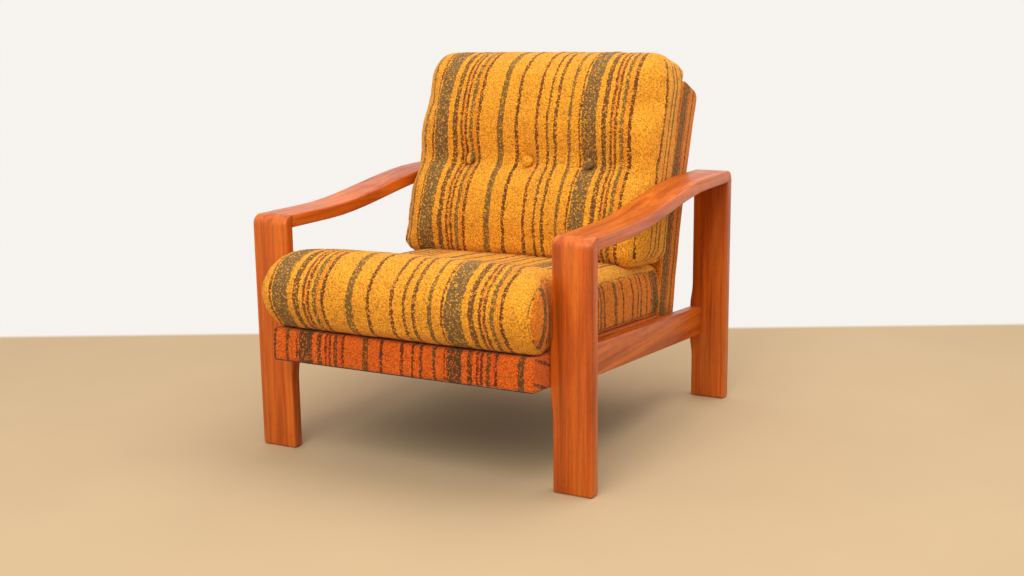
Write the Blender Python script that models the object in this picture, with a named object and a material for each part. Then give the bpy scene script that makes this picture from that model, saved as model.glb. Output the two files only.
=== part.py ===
"""Low lounge armchair: two solid teak side frames hold an upholstered seat and back, with two loose cushions.

Lengths are metres and angles radians. The chair is laid out with x = 0 on its centre line, z = 0 on the floor
and y = 0 at the front faces of the front legs, so +y runs to the back. At the end it is moved along y until
its outline is centred on the origin.
"""

import math

import bmesh
import bpy
from mathutils import Vector

# Side frames, in teak
OVERALL_WIDTH = 0.720
FRAME_DEPTH = 0.716
ARM_FRONT_TOP = 0.461
ARM_REAR_TOP = 0.501
ARM_THICKNESS = 0.025
ARM_FLAT_FRONT = 0.150
ARM_FLAT_REAR = 0.140
LEG_WIDTH = 0.077
LEG_THICKNESS = 0.026
CORNER_RADIUS = 0.020
EDGE_RADIUS = 0.004
RAIL_HEIGHT = 0.062
RAIL_THICKNESS = 0.026
RAIL_MID_FRONT = 0.2225
SEAT_SLOPE = math.radians(4.3)
JOINT_FLARE = 0.005
FLARE_RAMP = 0.050

# Joinery and fasteners
FIT = 0.0003
SMALL_ROUND_SIDES = 14
TENON_LENGTH = 0.014
TENON_THICKNESS = 0.010
TENON_SHOULDER = 0.010
DOWEL_DIAMETER = 0.008
DOWEL_LENGTH = 0.036
DOWEL_SPACING = 0.040
DOWEL_IN_FRONT_LEG = 0.013
DOWEL_IN_REAR_ARM = 0.012
CHAMFER = 0.001
BOLT_DIAMETER = 0.008
BOLT_HEAD_DIAMETER = 0.017
BOLT_HEAD_HEIGHT = 0.005
BOLT_SOCKET = 0.006
BOLT_ENGAGEMENT = 0.014
BOLT_INSET_FRONT = 0.150
BOLT_INSET_REAR = 0.110
INSERT_DIAMETER = 0.012
INSERT_LENGTH = 0.016
UNIT_BOLT_SPACING = 0.240
UNIT_BOLT_LENGTH = 0.048

# Upholstered seat box, measured along the seat's slope
BOX_OVERHANG = 0.060
BOX_DEPTH = 0.588
BOX_HEIGHT = 0.062
BOX_EDGE = 0.005
SKIN = 0.0025
SEAT_WOOD = 0.022
CORNER_BLOCK = 0.045
DUST_COVER = 0.0015
DECK_PAD = 0.014
SPRING_WIRE = 0.004
SPRING_COUNT = 5
SPRING_WIDTH = 0.044
SPRING_PITCH = 0.095
SPRING_STEPS = 6

# Upholstered back panel, measured along its curved front face and through its thickness
PANEL_WIDTH = 0.530
PANEL_LENGTH = 0.565
PANEL_THICKNESS = 0.095
PANEL_CORNER = 0.020
LEAN_FOOT = math.radians(8.0)
LEAN_TOP = math.radians(22.5)
BACK_PAD = 0.034
BACK_WOOD = 0.022
BACK_BOARD = 0.028
STRAP_COUNT = 4
STRAP_WIDTH = 0.050
STRAP_THICKNESS = 0.002

# Loose cushions
CUSHION_SKIN = 0.003
CUSHION_PLAY = 0.002
CUSHION_ROUNDING = 0.030
TAIL_STEPS = 8
SEAT_CUSHION_THICKNESS = 0.107
SEAT_CUSHION_CROWN = 0.033
SEAT_CUSHION_OVERHANG = 0.037
SEAT_NOSE = 0.085
SEAT_CROWN_RUN = 0.240
BACK_CUSHION_WIDTH = 0.540
BACK_CUSHION_HEIGHT = 0.428
BACK_CUSHION_THICKNESS = 0.172
BACK_CUSHION_TAPER = 0.018
CREASE_HEIGHT = 0.195
CREASE_DEPTH = 0.018
CREASE_SPREAD = 0.040
CREASE_STEPS = (-2.0, -1.4, -0.9, -0.45, 0.0, 0.45, 0.9, 1.4, 2.0)
BUTTON_COUNT = 3
BUTTON_SPACING = 0.140
BUTTON_DIAMETER = 0.026
BUTTON_HEIGHT = 0.009
TWINE_DIAMETER = 0.003
ZIP_LENGTH = 0.400
ZIP_WIDTH = 0.012

# Sizes that follow from those above
LEG_INNER = OVERALL_WIDTH / 2 - LEG_WIDTH
LEG_MIDDLE = OVERALL_WIDTH / 2 - LEG_WIDTH / 2
RAIL_INNER = LEG_INNER - JOINT_FLARE
BOX_HALF_WIDTH = RAIL_INNER - FIT
BOX_FRONT = -BOX_OVERHANG
BOX_REAR = BOX_FRONT + BOX_DEPTH
BOX_TOP = BOX_HEIGHT / 2
FRAME_HALF_WIDTH = BOX_HALF_WIDTH - SKIN - FIT
WOOD_LOW = -BOX_TOP + DUST_COVER + 2 * FIT
PAD_LOW = BOX_TOP - SKIN - FIT - DECK_PAD
WOOD_TOP = PAD_LOW - SPRING_WIRE - 2 * FIT
WOOD_MIDDLE = (WOOD_LOW + WOOD_TOP) / 2
REAR_LEG_FRONT = FRAME_DEPTH - LEG_THICKNESS
CUSHION_BASE = BOX_TOP + FIT
CUSHION_PLATEAU = CUSHION_BASE + SEAT_CUSHION_THICKNESS

SIDES = {"left": -1, "right": 1}


# ---------------------------------------------------------------- building blocks


def clear_scene():
    for obj in list(bpy.data.objects):
        bpy.data.objects.remove(obj, do_unlink=True)


def make_material(name, colour, roughness, metallic=0.0):
    material = bpy.data.materials.new(name)
    material.use_nodes = True
    shader = material.node_tree.nodes["Principled BSDF"]
    shader.inputs["Base Color"].default_value = (*colour, 1.0)
    shader.inputs["Roughness"].default_value = roughness
    shader.inputs["Metallic"].default_value = metallic
    return material


def add_empty(name, parent=None):
    empty = bpy.data.objects.new(name, None)
    bpy.context.scene.collection.objects.link(empty)
    empty.parent = parent
    return empty


def add_object(name, bm, material, parent):
    """A finished object from a bmesh, smooth on its round faces and sharp at its corners."""
    bmesh.ops.recalc_face_normals(bm, faces=bm.faces)
    mesh = bpy.data.meshes.new(name)
    bm.to_mesh(mesh)
    bm.free()
    mesh.shade_smooth()
    mesh.set_sharp_from_angle(angle=math.radians(35))
    obj = bpy.data.objects.new(name, mesh)
    bpy.context.scene.collection.objects.link(obj)
    obj.parent = parent
    if material:
        mesh.materials.append(material)
    return obj


def helper(obj):
    """Marks an object as a cutting or joining tool that isn't a piece of the chair."""
    obj.hide_render = True
    obj.display_type = "WIRE"
    return obj


def combine(target, operation, *tools):
    for tool in tools:
        modifier = target.modifiers.new(operation.title(), "BOOLEAN")
        modifier.operation = operation
        modifier.solver = "EXACT"
        modifier.object = tool
    return target


def cut(target, *tools):
    return combine(target, "DIFFERENCE", *tools)


def loft(sections):
    """A bmesh skinned over rings of points, with both ends closed, and its rings of vertices."""
    bm = bmesh.new()
    rings = [[bm.verts.new(point) for point in section] for section in sections]
    count = len(rings[0])
    for low, high in zip(rings, rings[1:]):
        for i in range(count):
            j = (i + 1) % count
            bm.faces.new((low[i], low[j], high[j], high[i]))
    bm.faces.new(rings[0])
    bm.faces.new(rings[-1])
    bmesh.ops.recalc_face_normals(bm, faces=bm.faces)
    return bm, rings


def chain(bm, rings, corner, first=0, last=None):
    """The edges that join one corner of neighbouring rings."""
    stretch = [ring[corner] for ring in rings[first:last]]
    return [bm.edges.get(pair) for pair in zip(stretch, stretch[1:])]


def round_edges(bm, edges, radius, segments=3):
    bmesh.ops.bevel(
        bm, geom=edges, offset=radius, offset_type="OFFSET", segments=segments, profile=0.5, affect="EDGES"
    )


def block(name, low, high, material, parent, radius=0.0, rounded=lambda middle: True):
    """A box between two corners. The edges whose middle point passes the test are rounded."""
    low, high = Vector(low), Vector(high)
    centre = (low + high) / 2
    bm = bmesh.new()
    bmesh.ops.create_cube(bm, size=1.0)
    bmesh.ops.scale(bm, vec=high - low, verts=bm.verts)
    if radius:
        edges = [e for e in bm.edges if rounded((e.verts[0].co + e.verts[1].co) / 2)]
        round_edges(bm, edges, radius)
    obj = add_object(name, bm, material, parent)
    obj.location = centre
    return obj


def ring(radius, height, segments):
    angles = (2 * math.pi * i / segments for i in range(segments))
    return [(radius * math.cos(a), radius * math.sin(a), height) for a in angles]


def turned(name, profile, base, rotation, material, parent, segments=SMALL_ROUND_SIDES):
    """A solid turned about its own z axis from (distance along the axis, radius) pairs."""
    bm, _ = loft([ring(radius, height, segments) for height, radius in profile])
    obj = add_object(name, bm, material, parent)
    obj.location = base
    obj.rotation_euler = rotation
    return obj


def tube(name, length, inner, outer, base, rotation, material, parent, segments=SMALL_ROUND_SIDES):
    """A sleeve with a bore right through it."""
    bm = bmesh.new()
    profile = [(0, inner), (0, outer), (length, outer), (length, inner)]
    rings = [[bm.verts.new(point) for point in ring(r, height, segments)] for height, r in profile]
    for first, second in zip(rings, rings[1:] + rings[:1]):
        for i in range(segments):
            j = (i + 1) % segments
            bm.faces.new((first[i], first[j], second[j], second[i]))
    obj = add_object(name, bm, material, parent)
    obj.location = base
    obj.rotation_euler = rotation
    return obj


def rod_profile(radius, length, chamfer):
    return [(0, radius - chamfer), (chamfer, radius), (length - chamfer, radius), (length, radius - chamfer)]


def bore(name, radius, length, base, rotation, parent):
    return helper(turned(name, [(0, radius), (length, radius)], base, rotation, None, parent))


ALONG_Z = (0, 0, 0)
ALONG_Y = (-math.pi / 2, 0, 0)
ALONG_X = (0, math.pi / 2, 0)
AGAINST_X = (0, -math.pi / 2, 0)


# ---------------------------------------------------------------- places


def rail_mid(y):
    """Height of the side rails' centre line."""
    return RAIL_MID_FRONT - y * math.tan(SEAT_SLOPE)


def from_seat(s, n):
    """(y, z) of a point s back along the seat's slope and n above the rails' centre line."""
    return (
        s * math.cos(SEAT_SLOPE) + n * math.sin(SEAT_SLOPE),
        RAIL_MID_FRONT - s * math.sin(SEAT_SLOPE) + n * math.cos(SEAT_SLOPE),
    )


def to_seat(y, z):
    """The reverse of from_seat."""
    rise = z - RAIL_MID_FRONT
    return (
        y * math.cos(SEAT_SLOPE) - rise * math.sin(SEAT_SLOPE),
        y * math.sin(SEAT_SLOPE) + rise * math.cos(SEAT_SLOPE),
    )


def lean_at(rise):
    return LEAN_FOOT + (LEAN_TOP - LEAN_FOOT) * rise / PANEL_LENGTH


def on_back(rise, forward):
    """(y, z) of a point a distance up the back panel's curved front face and a distance in front of it."""
    foot_y, foot_z = from_seat(BOX_REAR + FIT, -BOX_TOP)
    radius = PANEL_LENGTH / (LEAN_TOP - LEAN_FOOT)
    lean = lean_at(rise)
    return (
        foot_y + radius * (math.cos(LEAN_FOOT) - math.cos(lean)) - forward * math.cos(lean),
        foot_z + radius * (math.sin(lean) - math.sin(LEAN_FOOT)) + forward * math.sin(lean),
    )


def rise_over_seat(height, forward):
    """How far up the back a line, set forward of the panel, reaches a height above the rails' centre line."""
    low, high = 0.0, PANEL_LENGTH
    for _ in range(40):
        middle = (low + high) / 2
        if to_seat(*on_back(middle, forward))[1] < height:
            low = middle
        else:
            high = middle
    return (low + high) / 2


# ---------------------------------------------------------------- side frames


def arm_top(y):
    """The arm is level over each leg and rises between them in a gentle S."""
    start, end = ARM_FLAT_FRONT, FRAME_DEPTH - ARM_FLAT_REAR
    t = min(max((y - start) / (end - start), 0.0), 1.0)
    return ARM_FRONT_TOP + (ARM_REAR_TOP - ARM_FRONT_TOP) * t * t * (3 - 2 * t)


def flare(height, rail_height):
    """How far a leg widens inwards where the rail meets it."""
    beyond = abs(height - rail_height) - RAIL_HEIGHT / 2
    t = min(max(beyond / FLARE_RAMP, 0.0), 1.0)
    return JOINT_FLARE * (1 + math.cos(math.pi * t)) / 2


def flare_heights(rail_height):
    steps = [RAIL_HEIGHT / 2 + FLARE_RAMP * i / 4 for i in range(5)]
    return [rail_height - step for step in reversed(steps)] + [rail_height + step for step in steps]


def corner_drop(distance):
    """How far a rounded corner lies below its square one, at a distance in from the end."""
    reach = max(CORNER_RADIUS - distance, 0.0)
    return CORNER_RADIUS - math.sqrt(CORNER_RADIUS**2 - reach**2)


def corner_steps(count=6):
    """Distances in from the end at even angles round the corner, from its start to the end itself."""
    return [CORNER_RADIUS * (1 - math.sin(math.pi / 2 * i / count)) for i in range(count + 1)]


def make_front_leg(side, sign, teak, parent):
    middle = rail_mid(LEG_THICKNESS)
    underside = ARM_FRONT_TOP - ARM_THICKNESS
    upright = [0.0] + flare_heights(middle) + [underside]
    fronts = [(z, 0.0) for z in upright]
    fronts += [(ARM_FRONT_TOP - d, corner_drop(d)) for d in corner_steps()]
    sections = []
    for z, front in fronts:
        inner = sign * (LEG_INNER - flare(z, middle))
        outer = sign * OVERALL_WIDTH / 2
        rear = LEG_THICKNESS
        sections.append([(inner, front, z), (outer, front, z), (outer, rear, z), (inner, rear, z)])
    bm, rings = loft(sections)
    edges = chain(bm, rings, 0) + chain(bm, rings, 1)
    edges += chain(bm, rings, 2, last=len(upright)) + chain(bm, rings, 3, last=len(upright))
    edges += [bm.edges.get((rings[-1][0], rings[-1][3])), bm.edges.get((rings[-1][1], rings[-1][2]))]
    edges += [bm.edges.get((rings[0][i], rings[0][(i + 1) % 4])) for i in range(4)]
    round_edges(bm, edges, EDGE_RADIUS)
    return add_object(f"front_leg_{side}", bm, teak, parent)


def make_rear_leg(side, sign, teak, parent):
    middle = rail_mid(REAR_LEG_FRONT)
    top = ARM_REAR_TOP - ARM_THICKNESS - FIT
    sections = []
    for z in [0.0] + flare_heights(middle) + [top]:
        inner = sign * (LEG_INNER - flare(z, middle))
        outer = sign * OVERALL_WIDTH / 2
        front, rear = REAR_LEG_FRONT, FRAME_DEPTH
        sections.append([(inner, front, z), (outer, front, z), (outer, rear, z), (inner, rear, z)])
    bm, rings = loft(sections)
    edges = [edge for corner in range(4) for edge in chain(bm, rings, corner)]
    edges += [bm.edges.get((rings[0][i], rings[0][(i + 1) % 4])) for i in range(4)]
    round_edges(bm, edges, EDGE_RADIUS)
    return add_object(f"rear_leg_{side}", bm, teak, parent)


def make_armrest(side, sign, teak, parent):
    start, end = ARM_FLAT_FRONT, FRAME_DEPTH - ARM_FLAT_REAR
    stations = [(LEG_THICKNESS + FIT, 0.0)]
    stations += [(start + (end - start) * i / 10, 0.0) for i in range(11)]
    stations.append((REAR_LEG_FRONT, 0.0))
    over_leg = len(stations)
    stations += [(FRAME_DEPTH - corner_drop(d), d) for d in reversed(corner_steps())]
    sections = []
    for y, drop in stations:
        top = arm_top(y)
        low, high = top - ARM_THICKNESS, top - drop
        inner, outer = sign * LEG_INNER, sign * OVERALL_WIDTH / 2
        sections.append([(inner, y, low), (outer, y, low), (outer, y, high), (inner, y, high)])
    bm, rings = loft(sections)
    edges = chain(bm, rings, 2) + chain(bm, rings, 3)
    edges += chain(bm, rings, 0, last=over_leg) + chain(bm, rings, 1, last=over_leg)
    edges += [bm.edges.get((rings[-1][1], rings[-1][2])), bm.edges.get((rings[-1][0], rings[-1][3]))]
    round_edges(bm, edges, EDGE_RADIUS)
    return add_object(f"armrest_{side}", bm, teak, parent)


def sloped_bar(y_start, y_end, inner, outer, height):
    """A bar along the rails' centre line, with upright ends."""
    half = height / 2 / math.cos(SEAT_SLOPE)
    sections = []
    for y in (y_start, y_end):
        low, high = rail_mid(y) - half, rail_mid(y) + half
        sections.append([(inner, y, low), (outer, y, low), (outer, y, high), (inner, y, high)])
    return loft(sections)


def make_tenon(name, sign, start, end, play, parent):
    """The tongue on a rail's end or, with play round it, the mortise it sits in."""
    middle = RAIL_INNER + RAIL_THICKNESS / 2
    half = TENON_THICKNESS / 2 + play
    height = RAIL_HEIGHT - 2 * TENON_SHOULDER + 2 * play
    bm, _ = sloped_bar(start, end, sign * (middle - half), sign * (middle + half), height)
    return helper(add_object(name, bm, None, parent))


def make_side_rail(side, sign, teak, parent):
    front, rear = LEG_THICKNESS + FIT, REAR_LEG_FRONT - FIT
    bm, rings = sloped_bar(front, rear, sign * RAIL_INNER, sign * (RAIL_INNER + RAIL_THICKNESS), RAIL_HEIGHT)
    round_edges(bm, [edge for corner in range(4) for edge in chain(bm, rings, corner)], EDGE_RADIUS)
    rail = add_object(f"side_rail_{side}", bm, teak, parent)
    root = TENON_LENGTH
    combine(
        rail,
        "UNION",
        make_tenon(f"tenon_front_{side}", sign, front - TENON_LENGTH, front + root, 0.0, parent),
        make_tenon(f"tenon_rear_{side}", sign, rear - root, rear + TENON_LENGTH, 0.0, parent),
    )
    return rail


def make_dowel(name, base, rotation, beech, parent, members):
    """A dowel, with the holes it needs in the pieces that it joins."""
    radius = DOWEL_DIAMETER / 2
    turned(name, rod_profile(radius, DOWEL_LENGTH, CHAMFER), base, rotation, beech, parent)
    axis = Vector((0, 0, 1)) if rotation == ALONG_Z else Vector((0, 1, 0))
    start = Vector(base) - axis * FIT
    hole = bore(f"{name}_hole", radius + FIT, DOWEL_LENGTH + 2 * FIT, start, rotation, parent)
    for member in members:
        cut(member, hole)


def make_side_frame(side, sign, materials, parent):
    teak, beech = materials["teak"], materials["beech"]
    front_leg = make_front_leg(side, sign, teak, parent)
    rear_leg = make_rear_leg(side, sign, teak, parent)
    armrest = make_armrest(side, sign, teak, parent)
    rail = make_side_rail(side, sign, teak, parent)
    depth = TENON_LENGTH + FIT
    for place, leg, face in (("front", front_leg, LEG_THICKNESS), ("rear", rear_leg, REAR_LEG_FRONT)):
        cut(leg, make_tenon(f"mortise_{place}_{side}", sign, face - depth, face + depth, FIT, parent))
    for place, offset in (("inner", -DOWEL_SPACING / 2), ("outer", DOWEL_SPACING / 2)):
        x = sign * (LEG_MIDDLE + offset)
        front_base = (x, LEG_THICKNESS - DOWEL_IN_FRONT_LEG, ARM_FRONT_TOP - ARM_THICKNESS / 2)
        make_dowel(f"front_dowel_{side}_{place}", front_base, ALONG_Y, beech, parent, (front_leg, armrest))
        rear_height = ARM_REAR_TOP - ARM_THICKNESS + DOWEL_IN_REAR_ARM - DOWEL_LENGTH
        rear_base = (x, FRAME_DEPTH - LEG_THICKNESS / 2, rear_height)
        make_dowel(f"rear_dowel_{side}_{place}", rear_base, ALONG_Z, beech, parent, (rear_leg, armrest))
    return rail


# ---------------------------------------------------------------- upholstered seat box


def make_seat_box(materials, seat, rails):
    """Softwood frame, springs and pad inside a fabric skin that is open underneath."""
    inner_half = BOX_HALF_WIDTH - SKIN
    cover = block(
        "seat_box_cover",
        (-BOX_HALF_WIDTH, BOX_FRONT, -BOX_TOP),
        (BOX_HALF_WIDTH, BOX_REAR, BOX_TOP),
        materials["upholstery"],
        seat,
        BOX_EDGE,
        lambda middle: middle.z > -BOX_HEIGHT / 4,
    )
    hollow = block(
        "seat_box_hollow",
        (-inner_half, BOX_FRONT + SKIN, -2 * BOX_TOP),
        (inner_half, BOX_REAR - SKIN, BOX_TOP - SKIN),
        None,
        seat,
    )
    cut(cover, helper(hollow))

    front, rear = BOX_FRONT + SKIN + FIT, BOX_REAR - SKIN - FIT
    low, high = -BOX_TOP + FIT, PAD_LOW + DECK_PAD
    half = FRAME_HALF_WIDTH
    block("dust_cover", (-half, front, low), (half, rear, low + DUST_COVER), materials["lining"], seat)
    block("deck_pad", (-half, front, PAD_LOW), (half, rear, high), materials["wadding"], seat)

    pine = materials["pine"]
    between = half - SEAT_WOOD - FIT
    block("seat_front_rail", (-between, front, WOOD_LOW), (between, front + SEAT_WOOD, WOOD_TOP), pine, seat)
    rear_corner = (-between, rear - SEAT_WOOD, WOOD_LOW)
    rear_rail = block("seat_rear_rail", rear_corner, (between, rear, WOOD_TOP), pine, seat)
    make_corner_blocks(pine, seat, between, front + SEAT_WOOD + FIT)
    make_springs(materials["spring_steel"], seat, between, front + SEAT_WOOD / 2, rear - SEAT_WOOD / 2)

    for side, sign in SIDES.items():
        low_x, high_x = sorted((sign * half, sign * (half - SEAT_WOOD)))
        wood = block(f"seat_side_rail_{side}", (low_x, front, WOOD_LOW), (high_x, rear, WOOD_TOP), pine, seat)
        for place, s in (("front", BOX_FRONT + BOLT_INSET_FRONT), ("rear", BOX_REAR - BOLT_INSET_REAR)):
            make_frame_bolt(f"{side}_{place}", sign, s, materials, seat, (wood, cover, rails[side]))
    return cover, rear_rail


def make_corner_blocks(pine, seat, between, front):
    """Three-cornered glue blocks behind the front rail."""
    for side, sign in SIDES.items():
        corner = (sign * between, front)
        outline = [corner, (corner[0] - sign * CORNER_BLOCK, front), (corner[0], front + CORNER_BLOCK)]
        bm, _ = loft([[(x, y, z) for x, y in outline] for z in (WOOD_LOW, WOOD_TOP)])
        add_object(f"corner_block_{side}", bm, pine, seat)


def make_springs(steel, seat, half_span, front, rear):
    """Zigzag springs that run from the front rail to the rear rail, evenly spaced between the side rails."""
    height = WOOD_TOP + FIT + SPRING_WIRE / 2
    waves = max(round((rear - front) / SPRING_PITCH), 1)
    steps = waves * SPRING_STEPS
    for index in range(SPRING_COUNT):
        middle = half_span * (2 * (index + 0.5) / SPRING_COUNT - 1)
        curve = bpy.data.curves.new(f"seat_spring_{index + 1}", "CURVE")
        curve.dimensions = "3D"
        curve.bevel_depth = SPRING_WIRE / 2
        curve.bevel_resolution = 1
        curve.use_fill_caps = True
        spline = curve.splines.new("POLY")
        spline.points.add(steps)
        for i, point in enumerate(spline.points):
            turn = 2 * math.pi * waves * i / steps
            swing = (SPRING_WIDTH - SPRING_WIRE) / 2 * math.sin(turn)
            point.co = (middle + swing, front + (rear - front) * i / steps, height, 1.0)
        curve.materials.append(steel)
        spring = bpy.data.objects.new(curve.name, curve)
        bpy.context.scene.collection.objects.link(spring)
        spring.parent = seat


def bolt_profile(shank):
    """A low round head with a socket, then a plain shank with a chamfered end."""
    radius, head, socket = BOLT_DIAMETER / 2, BOLT_HEAD_DIAMETER / 2, BOLT_SOCKET / 2
    return [
        (BOLT_HEAD_HEIGHT * 0.6, socket),
        (0, socket),
        (0, head - CHAMFER),
        (CHAMFER, head),
        (BOLT_HEAD_HEIGHT, head),
        (BOLT_HEAD_HEIGHT, radius),
        (BOLT_HEAD_HEIGHT + shank - CHAMFER, radius),
        (BOLT_HEAD_HEIGHT + shank, radius - CHAMFER),
    ]


def make_frame_bolt(place, sign, s, materials, seat, members):
    """A bolt from inside the seat box, through its side, into a threaded insert in the teak rail."""
    steel, brass = materials["zinc_steel"], materials["brass"]
    outwards = ALONG_X if sign > 0 else AGAINST_X
    head_face = FRAME_HALF_WIDTH - SEAT_WOOD - FIT
    shank = RAIL_INNER - head_face + BOLT_ENGAGEMENT
    base = (sign * (head_face - BOLT_HEAD_HEIGHT), s, WOOD_MIDDLE)
    turned(f"frame_bolt_{place}", bolt_profile(shank), base, outwards, steel, seat)

    inner, outer = BOLT_DIAMETER / 2 + FIT, INSERT_DIAMETER / 2
    insert_base = (sign * (RAIL_INNER + FIT), s, WOOD_MIDDLE)
    tube(f"rail_insert_{place}", INSERT_LENGTH, inner, outer, insert_base, outwards, brass, seat)

    wood, cover, rail = members
    hole_base = (sign * (head_face - FIT), s, WOOD_MIDDLE)
    hole_length = RAIL_INNER - head_face
    cut(wood, bore(f"bolt_hole_{place}", inner, hole_length + FIT, hole_base, outwards, seat))
    cut(cover, bore(f"skin_hole_{place}", inner, hole_length + FIT, hole_base, outwards, seat))
    pocket_base = (sign * (RAIL_INNER - FIT), s, WOOD_MIDDLE)
    cut(rail, bore(f"insert_hole_{place}", outer + FIT, INSERT_LENGTH + 3 * FIT, pocket_base, outwards, seat))


# ---------------------------------------------------------------- upholstered back


def arc_points(centre, radii, start, end, count):
    """Points round part of an ellipse, given in degrees. The first radius runs up, the second forward."""
    points = []
    for i in range(count + 1):
        angle = math.radians(start + (end - start) * i / count)
        points.append((centre[0] + radii[0] * math.sin(angle), centre[1] + radii[1] * math.cos(angle)))
    return points


def slab(outline_at, half_width, radius, steps=4):
    """A bmesh of a side outline carried across the chair, shrinking by an inset to round its edges."""
    sections = []
    for i in range(steps + 1):
        angle = math.pi / 2 * i / steps
        sections.append((half_width - radius * (1 - math.cos(angle)), radius * (1 - math.sin(angle))))
    stations = [(-x, inset) for x, inset in sections] + [(x, inset) for x, inset in reversed(sections)]
    return loft([[(x, *point) for point in outline_at(inset)] for x, inset in stations])[0]


def panel_outline(inset, foot=0.0):
    """Side outline of the back panel, rounded at the top and square at the foot."""
    radius = PANEL_CORNER - inset
    top = PANEL_LENGTH - inset - radius
    front, back = -inset - radius, -PANEL_THICKNESS + inset + radius
    flat = [(foot + (top - foot) * i / 8) for i in range(8)]
    points = [(rise, -inset) for rise in flat]
    points += arc_points((top, front), (radius, radius), 0, 90, 4)
    points += arc_points((top, back), (radius, radius), 90, 180, 4)
    points += [(rise, -PANEL_THICKNESS + inset) for rise in reversed(flat)]
    return [on_back(*point) for point in points]


def curved_board(name, reach, rises, depths, material, parent):
    """A board that follows the back's curve, given its reach across the chair, its rises and its depths."""
    (low, high), (front, back) = reach, depths
    corners = ((low, front), (high, front), (high, back), (low, back))
    bm, _ = loft([[(x, *on_back(rise, depth)) for x, depth in corners] for rise in rises])
    return add_object(name, bm, material, parent)


def spread(low, high, count):
    return [low + (high - low) * i / (count - 1) for i in range(count)]


def make_back(materials, parent):
    """Softwood frame, straps and pad inside a fabric sock that is open at the foot."""
    half = PANEL_WIDTH / 2
    cover_mesh = slab(panel_outline, half, BOX_EDGE, 3)
    cover = add_object("back_panel_cover", cover_mesh, materials["upholstery"], parent)
    hollow_mesh = slab(lambda inset: panel_outline(SKIN, -0.010), half - SKIN, 0.0, 1)
    cut(cover, helper(add_object("back_panel_hollow", hollow_mesh, None, parent)))

    pine = materials["pine"]
    inner_half = half - SKIN - FIT
    between = inner_half - BACK_WOOD - FIT
    pad_back = -SKIN - FIT - BACK_PAD
    wood_front = pad_back - STRAP_THICKNESS - 2 * FIT
    wood_back = -PANEL_THICKNESS + SKIN + FIT
    top = PANEL_LENGTH - PANEL_CORNER
    foot = FIT
    for side, sign in SIDES.items():
        reach = sorted((sign * inner_half, sign * (inner_half - BACK_WOOD)))
        curved_board(f"back_stile_{side}", reach, spread(foot, top, 9), (wood_front, wood_back), pine, parent)
    span, rises = (-between, between), (foot, foot + BACK_BOARD)
    board = curved_board("back_bottom_rail", span, rises, (-SKIN - FIT, wood_back), pine, parent)
    curved_board("back_top_rail", span, (top - BACK_BOARD, top), (wood_front, wood_back), pine, parent)

    pad_low = rise_over_seat(BOX_TOP, -SKIN - FIT)
    span, rises = (FIT - inner_half, inner_half - FIT), spread(pad_low, top, 8)
    curved_board("back_pad", span, rises, (-SKIN - FIT, pad_back), materials["wadding"], parent)
    depths = (pad_back - FIT, pad_back - FIT - STRAP_THICKNESS)
    for index in range(STRAP_COUNT):
        middle = pad_low + (top - pad_low) * (index + 0.5) / STRAP_COUNT
        rises = (middle - STRAP_WIDTH / 2, middle + STRAP_WIDTH / 2)
        curved_board(f"back_strap_{index + 1}", span, rises, depths, materials["webbing"], parent)
    return cover, board


def make_unit_bolts(materials, seat, members):
    """Two bolts from inside the seat box, back through both covers, into the bottom rail of the back."""
    head_face = BOX_REAR - SKIN - FIT - SEAT_WOOD - FIT
    steel, radius = materials["zinc_steel"], BOLT_DIAMETER / 2 + FIT
    for side, sign in SIDES.items():
        x = sign * UNIT_BOLT_SPACING / 2
        base = (x, head_face - BOLT_HEAD_HEIGHT, WOOD_MIDDLE)
        turned(f"unit_bolt_{side}", bolt_profile(UNIT_BOLT_LENGTH), base, ALONG_Y, steel, seat)
        hole_base = (x, head_face - FIT, WOOD_MIDDLE)
        hole = bore(f"unit_hole_{side}", radius, UNIT_BOLT_LENGTH + 2 * FIT, hole_base, ALONG_Y, seat)
        for member in members:
            cut(member, hole)


# ---------------------------------------------------------------- loose cushions


def seat_crown(s):
    """Height of the seat cushion's top: a rounded crest near the front that falls to a level rear half."""
    t = min(max((s - (BOX_FRONT - SEAT_CUSHION_OVERHANG + SEAT_NOSE)) / SEAT_CROWN_RUN, 0.0), 1.0)
    return CUSHION_PLATEAU + SEAT_CUSHION_CROWN * (1 + math.cos(math.pi * t)) / 2


def seat_cushion_rear():
    """How far back the cushion reaches before some part of its rounded rear meets the leaning back panel."""
    half = SEAT_CUSHION_THICKNESS / 2
    tail = arc_points((CUSHION_BASE + half, 0.0), (half, CUSHION_ROUNDING), 90, -90, TAIL_STEPS)
    reaches = []
    for height, forward in tail:
        panel = to_seat(*on_back(rise_over_seat(height, FIT), FIT))[0]
        reaches.append(panel + CUSHION_ROUNDING - forward)
    return min(reaches)


def seat_cushion_outline(inset):
    """Side outline along the seat's slope: a round nose, a crowned top and a rounded rear."""
    crest = BOX_FRONT - SEAT_CUSHION_OVERHANG + SEAT_NOSE
    rear, end = seat_cushion_rear() - inset, CUSHION_ROUNDING
    low = CUSHION_BASE + inset
    nose_high, rear_high = seat_crown(crest) - inset, seat_crown(rear) - inset
    nose = arc_points(((low + nose_high) / 2, crest), ((nose_high - low) / 2, inset - SEAT_NOSE), -90, 90, 10)
    tail = arc_points(((low + rear_high) / 2, rear - end), ((rear_high - low) / 2, end), 90, -90, TAIL_STEPS)
    top = [(seat_crown(s) - inset, s) for s in spread(crest, rear - end, 8)[1:-1]]
    return [(s, n) for n, s in nose + top + tail]


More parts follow.
